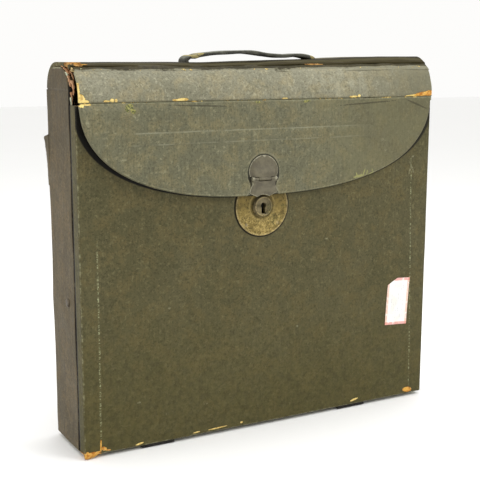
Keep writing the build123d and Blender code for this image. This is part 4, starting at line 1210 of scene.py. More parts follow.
def flap_skin():
    """Covering of the flap, over the stiff bar under it, with a rubbed rim."""
    grid = flap_grid(1.5 * MM)
    x, z = grid[..., 0].copy(), grid[..., 2].copy()
    rim = CREASE.z - FLAP_DEEP_Z * half_moon(x)
    across = smooth(x, BAR_LOW.x, BAR_LOW.x + 3 * MM) * smooth(x, BAR_HIGH.x + 2 * MM, BAR_HIGH.x - 6 * MM)
    middle = (BAR_LOW.z + BAR_HIGH.z) / 2 + ripple(grid, 160 * MM, 60) * 0.4 * MM
    tall = (BAR_HIGH.z - BAR_LOW.z) / 2
    over = smooth(np.abs(z - middle), tall + 0.7 * MM, tall - 1.3 * MM) * across
    groove = bump(np.abs(z - middle), tall + 1.0 * MM, 1.6 * MM) * across
    waves = ripple(grid, 90 * MM, 61) * 0.30 + ripple(grid, 24 * MM, 62) * 0.07
    swell = smooth(z - rim, 0, 6 * MM) * 0.25
    fall = smooth(CREASE.z - z, 0, 5 * MM)
    by_hasp = smooth(np.hypot(x - HASP_X, np.maximum(z - HASP_Z, 0)), HASP_R + 14 * MM, HASP_R + 1 * MM)
    press = 1 - by_hasp * smooth(z, HASP_Z + 30 * MM, HASP_Z + 15 * MM)
    lift = (over * 0.6 - groove * 0.35 + waves + swell) * MM * fall * press + flap_bow(x, z)
    grid[..., 1] -= lift
    rows = grid.shape[0]
    wear = smooth(z - rim, 1.8 * MM, 0.4 * MM) * 0.66
    wear = np.maximum(wear, smooth(CREASE.z - z, 2.0 * MM, 0) * 0.8)
    wear[rows - 5 :] = 0.1
    keep = ~notch(grid)
    vertices, faces, used = shell(grid, SKIN, True, keep)
    piece = add_piece(
        "flap_skin", vertices, faces, FLAP_CLOTH, "flap", "leathercloth", np.concatenate([wear.reshape(-1)] * 2)[used]
    )
    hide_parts("flap_covering")
    return piece


def notch(points):
    """Grid faces of the notch behind the tongue, where the staple passes."""
    low, high = (Vector(corner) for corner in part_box("hasp_staple"))
    middle = (points[1:, 1:] + points[:-1, :-1]) / 2
    x, z = middle[..., 0], middle[..., 2]
    return (x > low.x - 0.5 * MM) & (x < high.x + 0.5 * MM) & (z < high.z + 0.7 * MM)


def flap_backing():
    """Board and paper behind the flap's covering, warped with it."""
    grid = flap_grid(2.5 * MM)[:-7]
    x, z = grid[..., 0], grid[..., 2]
    grid[..., 1] = CREASE.y + FLAP_THICK - 0.05 * MM - flap_bow(x, z)
    grid[..., 1] += 0.0
    keep = ~notch(grid)
    vertices, faces, used = shell(grid, 0.6 * MM, False, keep)
    piece = add_piece("flap_backing", vertices, faces, LINING, "flap", "lining_paper")
    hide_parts("flap_board", "stiffener_bar")
    return piece


# ---------------------------------------------------------------- torn corners
def torn_strip(path, width, twist, thick=0.5 * MM):
    """A ragged strip of torn covering along a path."""
    line = through(path, 12)
    tangent = np.gradient(line, axis=0)
    side = np.cross(tangent, np.array(twist, float))
    side /= np.linalg.norm(side, axis=1, keepdims=True)
    share = np.linspace(0, 1, len(line))
    half = width / 2 * (1 - 0.65 * share**2) * (1 + 0.25 * np.sin(share * 17))
    grid = np.stack([line + side * (half * k)[:, None] for k in (-1, 0, 1)], axis=1)
    vertices, faces, _ = shell(grid, thick)
    return vertices, faces, np.zeros(len(vertices))


def torn_corner():
    """Rags of torn covering and board fibres where the lid's left end has broken from the wall."""
    x, y = -HALF_WIDTH / MM, SEAM.y / MM
    corner = (WALL_FRONT / MM, WALL_TOP / MM, SIDE_RADIUS / MM)

    def round_corner(across, start, end, proud):
        """A path over a wall's rounded front corner, between two turns from the upright edge."""
        places = []
        for turn in np.radians(np.linspace(start, end, 5)):
            reach = corner[2] + proud
            places.append((across, corner[0] + corner[2] - reach * math.cos(turn), corner[1] - corner[2] + reach * math.sin(turn)))
        return tuple(places)

    pink = [
        (round_corner(x + 2.4, 80, 44, 0.7), 4.6, (0.15, -1, 0.8)),
        (round_corner(x + 5.0, 66, 30, 0.9), 2.8, (0.3, -1, 0.5)),
        (round_corner(x + 1.6, 40, 14, 0.5), 2.2, (0.2, -1, 0.3)),
        (((x + 2.6, -21.0, 309), (x + 3.4, -22.6, 303), (x + 3.2, -22.8, 297.5)), 2.2, (0.2, 1, 0)),
        (((x + 2.0, -21.2, 300), (x + 2.2, -21.9, 294), (x + 2.0, -21.8, 289)), 1.6, (0.1, 1, 0)),
    ]
    white = [
        (round_corner(x + 0.8, 52, 34, 0.9), 1.6, (0.3, 1, 0)),
        (((x + 9.0, y + 1, 318.2), (x + 8.6, y - 0.8, 315.5), (x + 9.4, y - 2.2, 311.5)), 1.5, (0, 1, 0.3)),
        (((x + 1.0, -22.4, 296), (x + 1.4, -22.9, 289), (x + 1.2, -22.9, 282)), 1.3, (0.2, 1, 0)),
    ]
    straw = [
        (((x + 2.0, -14, TOP_Z / MM - 0.6), (x + 6, -17.5, TOP_Z / MM - 0.8), (x + 11, -19, TOP_Z / MM - 0.9)), 2.8, (0, 0, 1)),
        (((x + 5.0, -20, TOP_Z / MM - 1.6), (x + 10, -22.5, TOP_Z / MM - 2.2), (x + 15, -23, TOP_Z / MM - 2.3)), 2.0, (0, 0.3, 1)),
    ]
    for name, rags, material, body in (
        ("torn_rags", pink, TORN_PINK, "case"),
        ("torn_backing", white, TORN_WHITE, "case"),
        ("torn_fibres", straw, OLD_STRAW, "lid"),
    ):
        parts = [torn_strip(np.array(path) * MM, width * MM, twist) for path, width, twist in rags]
        piece = add_piece(name, *merge(*parts), material, body, "board")
        outward(piece)


def corner_flake():
    """The front's bottom left corner, split and bent down: layers of orange strawboard."""
    x, y = -HALF_WIDTH / MM, FRONT_Y / MM
    places = []
    for k, (low, reach) in enumerate(((0.5, 13.0), (0.9, 11.0), (1.5, 8.0))):
        depth = 0.5 - k * 0.45
        outline = [(x - 0.6, 8.0 - k), (x - 0.5, low + 1.2), (x + 0.8, low), (x + reach * 0.55, low + 0.7), (x + reach, 4.2)]
        grid = np.array([[(px, y + depth - 0.02 * (px - x), pz + (6.2 - k - pz) * t * 0.9) for px, pz in outline] for t in (0, 0.5, 1)])
        vertices, faces, _ = shell(grid * MM, 0.4 * MM)
        places.append((vertices, faces, np.zeros(len(vertices))))
    piece = add_piece("corner_flake", *merge(*places), OLD_STRAW, "case", "board")
    outward(piece)


# ---------------------------------------------------------------- handle
def strap_path():
    """Centre line of the strap, from one slot to the other, as (x, z)."""
    low, high = (Vector(corner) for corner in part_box("handle_strap"))
    left, right = low.x + 1.7 * MM, high.x - 1.7 * MM
    points = [(left, low.z), (left, TOP_Z - 8 * MM), (left, TOP_Z - 0.6 * MM)]
    points += [(left - 0.5 * MM, TOP_Z + 1.0 * MM), (left + 0.9 * MM, TOP_Z + 2.9 * MM), (left + 3.6 * MM, TOP_Z + 4.3 * MM)]
    over = ((-57.5, 4.3), (-52, 5.7), (-36, 7.4), (-15, 8.4), (-2, 8.3), (14, 6.3), (30, 5.2), (45, 6.0), (56, 4.6))
    points += [(x * MM, TOP_Z + z * MM) for x, z in over]
    points += [(right, TOP_Z + 1.6 * MM), (right, TOP_Z - 8 * MM), (right, low.z)]
    return np.array(points)


def through(points, count):
    """A smooth line through points, evenly sampled."""
    points = np.asarray(points, float)
    padded = np.vstack([2 * points[0] - points[1], points, 2 * points[-1] - points[-2]])
    out = []
    for k in range(len(points) - 1):
        a, b, c, d = padded[k : k + 4]
        for t in np.linspace(0, 1, 24, endpoint=False):
            out.append(0.5 * (2 * b + (c - a) * t + (2 * a - 5 * b + 4 * c - d) * t**2 + (3 * b - a - 3 * c + d) * t**3))
    out.append(points[-1])
    out = np.array(out)
    run = np.concatenate([[0], np.cumsum(np.linalg.norm(np.diff(out, axis=0), axis=1))])
    places = np.linspace(0, run[-1], count)
    return np.column_stack([np.interp(places, run, out[:, k]) for k in range(out.shape[1])])


def section_ring(half_wide, half_thick, round_off, count=5):
    """A rounded rectangle as a closed ring of (across, out) places."""
    ring = []
    for side_a, side_b, start in ((1, 1, 0), (-1, 1, 90), (-1, -1, 180), (1, -1, 270)):
        for turn in np.radians(np.linspace(start, start + 90, count)):
            ring.append((
                side_a * (half_wide - round_off) + round_off * math.cos(turn),
                side_b * (half_thick - round_off) + round_off * math.sin(turn),
            ))
    return np.array(ring)


def tube(line, ring_at):
    """A closed solid swept along a line in the XZ plane; ring_at gives the section at each place."""
    tangent = np.gradient(line, axis=0)
    tangent /= np.linalg.norm(tangent, axis=1, keepdims=True)
    out = np.column_stack([-tangent[:, 1], tangent[:, 0]])
    vertices, faces = [], []
    size = None
    for k, (place, normal) in enumerate(zip(line, out)):
        ring = ring_at(k / (len(line) - 1))
        size = len(ring)
        for across, away in ring:
            vertices.append((place[0] + normal[0] * away, across, place[1] + normal[1] * away))
    for k in range(len(line) - 1):
        for j in range(size):
            a, b = k * size + j, k * size + (j + 1) % size
            faces.append((a, b, b + size, a + size))
    faces.append(tuple(range(size - 1, -1, -1)))
    last = (len(line) - 1) * size
    faces.append(tuple(range(last, last + size)))
    return np.array(vertices), faces


def handle_strap():
    """Flat leather strap with a slack arch, a little uneven in width and thickness, creased at its bends."""
    line = through(strap_path(), 150)
    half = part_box("handle_strap")[1][1]

    def ring_at(share):
        wide = half - 0.3 * MM + 0.35 * MM * math.sin(share * 23)
        return section_ring(wide, (1.55 + 0.12 * math.sin(share * 40)) * MM, 0.9 * MM)

    vertices, faces = tube(line, ring_at)
    wear = smooth(vertices[:, 2] - np.repeat(line[:, 1], 20), -0.6 * MM, 1.2 * MM) * 0.75
    piece = add_piece("handle_strap_worn", vertices, faces, STRAP, "handle", "strap_leather", wear)
    outward(piece)
    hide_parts("handle_strap")
    return piece


def outward(piece):
    """Turns every face of a closed mesh outwards."""
    mesh = bmesh.new()
    mesh.from_mesh(piece.data)
    bmesh.ops.recalc_face_normals(mesh, faces=mesh.faces)
    mesh.to_mesh(piece.data)
    mesh.free()


# ---------------------------------------------------------------- lock and hasp
def lock_furniture():
    """Round brass plate with a rolled rim, and its collar."""
    soften("lock_plate", 0.2 * MM, BRASS, "case", "brass", 3)
    soften("lock_collar", 0.45 * MM, BRASS_DARK, "case", "brass", 3)
    radius = (LOCK_HIGH.x - LOCK_LOW.x) / 2
    front = LOCK_LOW.y
    section = [(radius + 0.1 * MM, front + 0.5 * MM)]
    for turn in np.radians(np.linspace(0, 180, 9)):
        section.append((radius - 0.6 * MM + 0.7 * MM * math.cos(turn), front + 0.1 * MM - 0.4 * MM * math.sin(turn)))
    section.append((radius - 1.3 * MM, front + 0.5 * MM))
    vertices, faces = ring_about_y(section, (LOCK_X, LOCK_Z))
    # The rim is in the brighter brass: a painted highlight along it.
    add_piece("lock_plate_rim", vertices, faces, BRASS_HIGHLIGHT, "case", "brass")
    low, high = (Vector(corner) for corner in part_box("lock_collar"))
    lip = [((high.x - low.x) / 2 * 0.83 + 0.4 * MM * math.cos(turn), low.y + 0.3 * MM - 0.4 * MM * math.sin(turn))
           for turn in np.linspace(0, 2 * math.pi, 12, endpoint=False)]
    # The lip is a thin ring in the brighter brass: a painted highlight arc round the collar.
    add_piece("lock_collar_lip", *ring_about_y(lip, (LOCK_X, LOCK_Z)), BRASS_HIGHLIGHT, "case", "brass")


def ring_about_y(section, centre, count=96):
    """A closed ring: a section of (radius, y) places turned about an axis along Y."""
    section = np.array(section)
    turns = np.linspace(0, 2 * math.pi, count, endpoint=False)
    vertices, faces = [], []
    for turn in turns:
        for radius, y in section:
            vertices.append((centre[0] + radius * math.cos(turn), y, centre[1] + radius * math.sin(turn)))
    size = len(section)
    for i in range(count):
        for j in range(size):
            a, b = i * size + j, i * size + (j + 1) % size
            c, d = ((i + 1) % count) * size + (j + 1) % size, ((i + 1) % count) * size + j
            faces.append((a, b, c, d))
    return np.array(vertices), faces


def rod_along_x(x0, x1, y, z, radius, round_off=0.25 * MM, count=28):
    """A round rod along X with softened ends."""
    rings = [(x0, 0.0), (x0, radius - round_off), (x0 + round_off * 0.3, radius - round_off * 0.3), (x0 + round_off, radius)]
    rings += [(x1 - round_off, radius), (x1 - round_off * 0.3, radius - round_off * 0.3), (x1, radius - round_off), (x1, 0.0)]
    vertices = [(x0, y, z)]
    for x, r in rings[1:-1]:
        for turn in np.linspace(0, 2 * math.pi, count, endpoint=False):
            vertices.append((x, y + r * math.cos(turn), z + r * math.sin(turn)))
    vertices.append((x1, y, z))
    faces = []
    last = len(vertices) - 1
    for j in range(count):
        k = (j + 1) % count
        faces.append((0, 1 + j, 1 + k))
        for r in range(5):
            a = 1 + r * count
            faces.append((a + j, a + count + j, a + count + k, a + k))
        faces.append((last, last - count + k, last - count + j))
    return np.array(vertices), faces, np.zeros(len(vertices))


def rounded_height(distance, rim):
    """Share of full height at a distance inside a plate's edge."""
    t = np.clip(distance / rim, 0, 1)
    return np.sqrt(np.clip(1 - (1 - t) ** 2, 0, 1))


def hasp_pieces():
    """Bullet-topped hasp plate and flared tongue, pressed so that the hinge between them barely shows."""
    face = HASP_HIGH.y
    pin_y, pin_z = (PIN_LOW.y + PIN_HIGH.y) / 2, (PIN_LOW.z + PIN_HIGH.z) / 2
    barrel = 1.85 * MM
    crest = face - (pin_y - barrel)
    across = np.sin(np.linspace(-math.pi / 2, math.pi / 2, 49))

    low = pin_z + barrel + 0.1 * MM
    turns = np.concatenate([np.linspace(low, HASP_Z, 8)[:-1], HASP_Z + HASP_R * np.sin(np.linspace(0, math.pi / 2, 20))])
    grid = np.zeros((len(turns), len(across), 3))
    for k, z in enumerate(turns):
        half = math.sqrt(max(HASP_R**2 - max(z - HASP_Z, 0) ** 2, 1e-10))
        if z < HASP_Z:
            half = HASP_R - 0.9 * MM * float(smooth(z, HASP_Z, low))
        x = across * half
        inside = np.minimum(half - np.abs(x), HASP_R - np.hypot(x, max(z - HASP_Z, 0)))
        swell = smooth(np.abs(x), 12.6 * MM, 9.5 * MM) * smooth(z, HASP_Z + 9 * MM, low) * (crest - 1.3 * MM)
        dome = 0.35 * MM * smooth(inside, 0, 9 * MM)
        grid[k] = np.column_stack([HASP_X + HASP_SHIFT + x, face - rounded_height(inside, 0.9 * MM) * 0.95 * MM - swell - dome, np.full(len(x), z)])
    back = grid.copy()
    back[..., 1] = face + 0.25 * MM
    # Pale rubbed paint along the rim, which also paints the highlight on the rounded edge.
    worn = smooth(rim_distance(grid), 1.3 * MM, 0.2 * MM) * 0.75
    # Painted highlight: pale specks on the crown of the hasp.
    crown_highlight = smooth(rim_distance(grid), 4.5 * MM, 0.5 * MM) * smooth(grid[..., 2], HASP_Z + 6 * MM, HASP_Z + 11 * MM)
    worn = np.maximum(worn, crown_highlight * 0.5)
    vertices, faces, used = shell(grid, 0, True, None, back)
    plate = (vertices, faces, np.concatenate([worn.reshape(-1)] * 2)[used])
    knuckle = rod_along_x(HASP_X + HASP_SHIFT - 5.9 * MM, HASP_X + HASP_SHIFT + 5.9 * MM, pin_y, pin_z, barrel, 0.12 * MM)
    web = rod_along_x(HASP_X + HASP_SHIFT - 5.9 * MM, HASP_X + HASP_SHIFT + 5.9 * MM, face - 0.9 * MM, low + 0.2 * MM, 0.9 * MM, 0.1 * MM)
    fill = rod_along_x(HASP_X + HASP_SHIFT - 5.9 * MM, HASP_X + HASP_SHIFT + 5.9 * MM, pin_y - barrel + 0.78 * MM, pin_z + barrel, 0.72 * MM, 0.1 * MM)
    parts = [plate, knuckle, web, fill]
    piece = add_piece("hasp_plate", *merge(*parts), JAPANNED, "flap", "japanned_metal")
    finish_metal(piece, parts)
    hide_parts("hasp_base", "hasp_rivets")

    top = pin_z - barrel - 0.1 * MM
    tongue_back = TONGUE_HIGH.y
    rows = np.linspace(0, 1, 26)
    grid = np.zeros((len(rows), len(across), 3))
    flare = (TONGUE_HIGH.x - TONGUE_LOW.x) / 2
    reach = 10.4 * MM
    for j, share in enumerate(across):
        x_low = share * flare
        arc_top = LOCK_Z + math.sqrt(max(reach**2 - x_low**2, 0))
        bottom = max(TONGUE_LOW.z + 0.42 * max(abs(x_low) - 6 * MM, 0), arc_top)
        for k, down in enumerate(rows):
            z = top + (bottom - top) * down
            half = 11.9 * MM - 0.5 * MM * float(bump(z, pin_z - 4.5 * MM, 3 * MM))
            half += (flare - 11.9 * MM) * float(smooth(z, pin_z - 4 * MM, pin_z - 12.5 * MM))
            grid[k, j] = (HASP_X + HASP_SHIFT + share * half, 0, z)
    inside = rim_distance(grid)
    x, z = grid[..., 0] - HASP_X - HASP_SHIFT, grid[..., 2]
    swell = smooth(np.abs(x), 12.4 * MM, 10.0 * MM) * smooth(z, pin_z - 11 * MM, top) * (crest - 1.4 * MM)
    grid[..., 1] = tongue_back - rounded_height(inside, 0.8 * MM) * 0.95 * MM - swell - 0.25 * MM * smooth(inside, 0, 6 * MM)
    back = grid.copy()
    back[..., 1] = tongue_back
    # Pale rubbed paint along the tongue's rim, which also paints its highlight.
    worn = smooth(inside, 1.2 * MM, 0.2 * MM) * 0.7
    vertices, faces, used = shell(grid, 0, False, None, back)
    parts = [(vertices, faces, np.concatenate([worn.reshape(-1)] * 2)[used])]
    for side in (-1, 1):
        ends = sorted((HASP_X + HASP_SHIFT + side * 6.1 * MM, HASP_X + HASP_SHIFT + side * 12.0 * MM))
        ear = rod_along_x(*ends, pin_y, pin_z, barrel, 0.3 * MM)
        outer = smooth(np.abs(ear[0][:, 0] - HASP_X - HASP_SHIFT), 11.0 * MM, 11.9 * MM) * 0.6
        parts.append((*ear[:2], outer))
        parts.append(rod_along_x(*ends, pin_y - barrel + 0.78 * MM, pin_z - barrel, 0.72 * MM, 0.1 * MM))
        parts.append(rod_along_x(*ends, tongue_back - 0.8 * MM, top + 0.2 * MM, 0.8 * MM, 0.1 * MM))
    piece = add_piece("hasp_tongue_pressed", *merge(*parts), JAPANNED, "tongue", "japanned_metal")
    finish_metal(piece, parts)
    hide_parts("hasp_tongue")


def rim_distance(grid):
    """Distance of each grid place from the grid's outer boundary, in the XZ plane, roughly."""
    flat = grid[..., (0, 2)]
    left = np.linalg.norm(flat - flat[:, :1], axis=2)
    right = np.linalg.norm(flat - flat[:, -1:], axis=2)
    last = np.linalg.norm(flat - flat[-1:, :], axis=2)
    return np.minimum(np.minimum(left, right), last)


def merge(*parts):
    vertices, faces, _ = join(*parts)
    return vertices, faces


def finish_metal(piece, parts):
    """Outward faces, crisp corners and the wear value of pressed metal."""
    outward(piece)
    shade_by_angle(piece, 50)
    layer = piece.data.attributes.new("wear", "FLOAT", "POINT")
    layer.data.foreach_set("value", np.concatenate([part[2] for part in parts]).astype(np.float32))


# ---------------------------------------------------------------- the rest of the CAD nodes
def dress(material, *nodes):
    """Gives CAD nodes whose shape is right their finish."""
    for name in nodes:
        node = frame["nodes"][name]
        node.data.materials.clear()
        node.data.materials.append(material)


def small_pieces():
    dress(STRAW, "back_board", "left_side_board", "right_side_board", "bottom_board", "front_board", "lid_board", "band_board")
    dress(WOOD, "front_left_rail", "front_right_rail", "front_bottom_rail", "front_top_rail", "handle_stops")
    dress(STEEL, "front_nails", "hasp_pin", "hasp_staple")
    # The lock's inner parts are painted nearly black, as shade behind the keyhole.
    dress(KEYHOLE_SHADE_STEEL, "lock_case", "lock_lever", "lock_spring", "lock_bolt")
    for side in ("left", "right"):
        foot = soften(f"{side}_foot_strip", 0.6 * MM, FOOT_SHADE_LEATHER, "case", "strap_leather")
        draw_back(foot, FRONT_Y + 1.2 * MM)
        soften(f"{side}_side_stud", 0.2 * MM, STUD, "case", "steel", 3)


def draw_back(piece, front):
    """Wears a foot strip's front end back under the case and rounds it off."""
    mesh = piece.data
    places = np.array([v.co for v in mesh.vertices])
    ahead = np.maximum(front - places[:, 1], 0)
    places[:, 1] = np.maximum(places[:, 1], front - 0.15 * ahead)
    tip = smooth(places[:, 1], front + 3.0 * MM, front)
    places[:, 2] += tip * smooth(places[:, 2], 1.5 * MM, 0) * 0.8 * MM
    mesh.vertices.foreach_set("co", places.ravel())
    mesh.update()


# ---------------------------------------------------------------- loose cloth and paper
def torn_tab():
    """Ragged end of covering that stands out behind the left wall and curls away from it."""
    low, high = (Vector(corner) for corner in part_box("torn_tab"))
    down = np.linspace(0, 1, 44)
    rng = np.random.default_rng(71)
    ragged = rng.uniform(-0.07, 0.07, len(down)) + 0.06 * np.sin(down * 31)
    reach = np.interp(down, (0, 0.05, 0.5, 0.8, 1), (0.86, 1.0, 0.94, 0.55, 0.04)) + ragged * (1 - down)
    out = np.linspace(0, 1, 10)
    grid = np.zeros((len(down), len(out), 3))
    start = low.y - 3 * MM
    for k, share in enumerate(down):
        end = low.y + (high.y - low.y) * float(reach[k])
        y = start + (end - start) * out
        curl = 1.1 * MM * out**2 * math.sin(2.4 + share * 4) + 0.35 * MM
        slope = 2.2 * MM * out * (1 - share) ** 3
        grid[k] = np.column_stack([low.x - curl, y, np.full(len(out), high.z - (high.z - low.z) * share) - slope])
    wear = np.tile(out**3 * 0.55, (len(down), 1))
    vertices, faces, used = shell(grid, 0.5 * MM, True)
    both = np.concatenate([wear.reshape(-1)] * 2)[used]
    piece = add_piece("torn_tab_rag", vertices, faces, WALL_CLOTH, "case", "leathercloth", both)
    outward(piece)
    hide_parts("torn_tab")


def gussets():
    """Black cloth strips inside, each joining an upright rail to its side wall, puckered by age."""
    thick = 0.4 * MM
    for name, side in (("left_gusset", -1), ("right_gusset", 1)):
        low, high = (Vector(corner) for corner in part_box(name))
        wall, rail = (low.x, high.x) if side < 0 else (high.x, low.x)
        wall_high = high.z - SIDE_RADIUS
        plan = [(x, low.y + thick) for x in lines(rail, wall - side * 2.4 * MM, 2 * MM)]
        for turn in np.radians(np.linspace(20, 90, 4)):
            plan.append((wall - side * 2.0 * MM * (1 - math.sin(turn)) - side * thick, low.y + thick + 2.0 * MM * (1 - math.cos(turn))))
        plan += [(wall - side * thick, y) for y in lines(low.y + 4 * MM, high.y, 2 * MM)]
        plan = np.array(plan)
        on_wall = smooth(plan[:, 1], low.y + thick, low.y + 4 * MM)
        tops = high.z + (wall_high - high.z) * on_wall
        rows = np.linspace(0, 1, 90)
        grid = np.zeros((len(rows), len(plan), 3))
        for k, share in enumerate(rows):
            grid[k] = np.column_stack([plan, low.z + (tops - low.z) * share])
        pucker = ripple(grid * (1, 1, 0.6), 12 * MM, 81) * 0.09 * MM
        normal = grid_normals(grid)
        facing = np.sign(normal[..., 1].mean())
        grid += normal * facing * (pucker + 0.1 * MM)[..., None]
        vertices, faces, _ = shell(grid, 0.3 * MM, facing < 0)
        piece = add_piece(f"{name}_cloth", vertices, faces, GUSSET_CLOTH, "case", "lining_cloth")
        outward(piece)
        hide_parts(name)


def lining_sheet(node, body, flat, toward, holes=False):
    """Paper glued to a board: cockled, with uneven edges. flat is the thin axis, toward its free side."""
    low, high = (np.array(corner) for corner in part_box(node))
    a, b = [k for k in range(3) if k != flat]
    across, along = lines(low[a], high[a], 4 * MM), lines(low[b], high[b], 4 * MM)
    grid = np.zeros((len(across), len(along), 3))
    grid[..., a], grid[..., b] = across[:, None], along[None, :]
    grid[..., flat] = high[flat] if toward > 0 else low[flat]
    grid[..., flat] += ripple(grid, 45 * MM, 91) * 0.05 * MM
    for axis, places in ((a, across), (b, along)):
        middle, half = (places[0] + places[-1]) / 2, (places[-1] - places[0]) / 2
        near = smooth(np.abs(grid[..., axis] - middle), half - 3 * MM, half)
        grid[..., axis] -= np.sign(grid[..., axis] - middle) * near * (0.5 + 0.5 * ripple(grid, 20 * MM, 92)) * 0.5 * MM
    keep = ~slot_holes_below(grid) if holes else None
    facing = np.sign(grid_normals(grid)[..., flat].mean()) * toward
    vertices, faces, _ = shell(grid, 0.22 * MM, facing < 0, keep)
    piece = add_piece(f"{node}_paper", vertices, faces, LINING, body, "lining_paper")
    outward(piece)
    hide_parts(node)


def slot_holes_below(points):
    """Grid faces of the lid's lining around the ends of the strap."""
    low, high = (Vector(corner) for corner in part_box("handle_strap"))
    middle = (points[1:, 1:] + points[:-1, :-1]) / 2
    x, y = middle[..., 0], middle[..., 1]
    near = (np.abs(x - low.x - 1.7 * MM) < 5 * MM) | (np.abs(x - high.x + 1.7 * MM) < 5 * MM)
    return near & (np.abs(y) < high.y + 2.2 * MM)


def label():
    """Paper label with one cut corner, pasted askew; its corners have begun to lift."""
    low, high = (Vector(corner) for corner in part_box("paper_label"))
    centre_x, centre_z = (low.x + high.x) / 2, (low.z + high.z) / 2
    u, v = np.linspace(-1, 1, 27), np.linspace(-1, 1, 47)
    tilt = math.radians(LABEL_TILT)
    cut_wide, cut_high = 11 * MM, 6.5 * MM
    grid = np.zeros((len(u), len(v), 3))
    for i, across in enumerate(u):
        x = across * LABEL_HALF[0]
        cut = max(0.0, cut_wide - LABEL_HALF[0] - x) / cut_wide * cut_high
        z = -LABEL_HALF[1] + (v + 1) / 2 * (2 * LABEL_HALF[1] - cut)
        grid[i, :, 0] = centre_x + x * math.cos(tilt) + z * math.sin(tilt)
        grid[i, :, 2] = centre_z - x * math.sin(tilt) + z * math.cos(tilt)
    corners = smooth(np.abs(u), 0.45, 1)[:, None] * smooth(np.abs(v), 0.6, 1)[None, :]
    grid[..., 1] = high.y - 0.34 * MM - corners * 0.25 * MM + ripple(grid, 14 * MM, 95) * 0.04 * MM
    vertices, faces, _ = shell(grid, 0.16 * MM, False)
    piece = add_piece("paper_label_sheet", vertices, faces, label_paper(low, high), "case", "label_paper")
    outward(piece)
    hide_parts("paper_label")


# ---------------------------------------------------------------- what repeats: pins, tacks and fibres
def node_group(name, sizes):
    """A geometry tree with named size inputs, with the sockets of its group input and output."""
    tree = bpy.data.node_groups.new(name, "GeometryNodeTree")
    tree.interface.new_socket("Geometry", in_out="INPUT", socket_type="NodeSocketGeometry")
    for label_text in sizes:
        kind = "NodeSocketInt" if label_text == "Seed" else "NodeSocketFloat"
        tree.interface.new_socket(label_text, in_out="INPUT", socket_type=kind)
    tree.interface.new_socket("Geometry", in_out="OUTPUT", socket_type="NodeSocketGeometry")
    return tree, tree.nodes.new("NodeGroupInput").outputs, tree.nodes.new("NodeGroupOutput").inputs


def wire(tree, kind, links=(), **settings):
    """Adds a node, sets its constants by socket name and links others to it."""
    made = tree.nodes.new(kind)
    for key, value in settings.items():
        made.inputs[key.replace("_", " ")].default_value = value
    for key, source in links:
        tree.links.new(source, made.inputs[key])
    return made


def finish_tree(tree, instances, output, material):
    """Ends a tree: real geometry, smooth, in its material."""
    real = wire(tree, "GeometryNodeRealizeInstances", [("Geometry", instances)])
    smooth_faces = wire(tree, "GeometryNodeSetShadeSmooth", [("Geometry", real.outputs[0])])
    painted = wire(tree, "GeometryNodeSetMaterial", [("Geometry", smooth_faces.outputs[0])])
    painted.inputs["Material"].default_value = material
    tree.links.new(painted.outputs[0], output["Geometry"])


def domed_pins(material, turn):
    """Tree: a domed pin with its shank at every point, pointing along turn."""
    tree, given, output = node_group(f"domed_{material.name}", ("Head Radius", "Head Rise", "Shank Radius", "Shank Length"))
    scale = wire(tree, "ShaderNodeCombineXYZ", [("X", given["Head Radius"]), ("Y", given["Head Radius"]), ("Z", given["Head Rise"])])
    ball = wire(tree, "GeometryNodeMeshUVSphere", Segments=20, Rings=10, Radius=1.0)
    head = wire(tree, "GeometryNodeTransform", [("Geometry", ball.outputs[0]), ("Scale", scale.outputs[0])])
    rod = wire(tree, "GeometryNodeMeshCylinder", [("Radius", given["Shank Radius"]), ("Depth", given["Shank Length"])], Vertices=14)
    half = wire(tree, "ShaderNodeMath", [(0, given["Shank Length"])])
    half.operation = "MULTIPLY"
    half.inputs[1].default_value = -0.5
    drop = wire(tree, "ShaderNodeCombineXYZ", [("Z", half.outputs[0])])
    shank = wire(tree, "GeometryNodeTransform", [("Geometry", rod.outputs[0]), ("Translation", drop.outputs[0])])
    both = wire(tree, "GeometryNodeJoinGeometry", [(0, shank.outputs[0]), (0, head.outputs[0])])
    aimed = wire(tree, "GeometryNodeTransform", [("Geometry", both.outputs[0])])
    aimed.inputs["Rotation"].default_value = turn
    placed = wire(tree, "GeometryNodeInstanceOnPoints", [("Points", given["Geometry"]), ("Instance", aimed.outputs[0])])
    finish_tree(tree, placed.outputs[0], output, material)
    return tree


def loose_fibres(material):
    """Tree: tapered fibres of board or cloth, scattered over torn faces at uneven angles."""
    tree, given, output = node_group(f"fibres_{material.name}", ("Density", "Length", "Radius", "Seed"))
    points = wire(tree, "GeometryNodeDistributePointsOnFaces",
                  [("Mesh", given["Geometry"]), ("Density", given["Density"]), ("Seed", given["Seed"])])
    fibre = wire(tree, "GeometryNodeMeshCone", [("Radius Bottom", given["Radius"]), ("Depth", given["Length"])], Vertices=5, Radius_Top=0.0)
    lean = wire(tree, "FunctionNodeRandomValue", [("Seed", given["Seed"])])
    lean.data_type = "FLOAT_VECTOR"
    lean.inputs[0].default_value, lean.inputs[1].default_value = (-1.1, -1.1, -3.1), (1.1, 1.1, 3.1)
    turned = wire(tree, "FunctionNodeRotateRotation", [("Rotation", points.outputs["Rotation"]), ("Rotate By", lean.outputs[0])])
    size = wire(tree, "FunctionNodeRandomValue", [("Seed", given["Seed"])])
    size.inputs[2].default_value, size.inputs[3].default_value = 0.45, 1.25
    placed = wire(tree, "GeometryNodeInstanceOnPoints", [
        ("Points", points.outputs["Points"]), ("Instance", fibre.outputs[0]),
        ("Rotation", turned.outputs[0]), ("Scale", size.outputs[1])])
    finish_tree(tree, placed.outputs[0], output, material)
    return tree


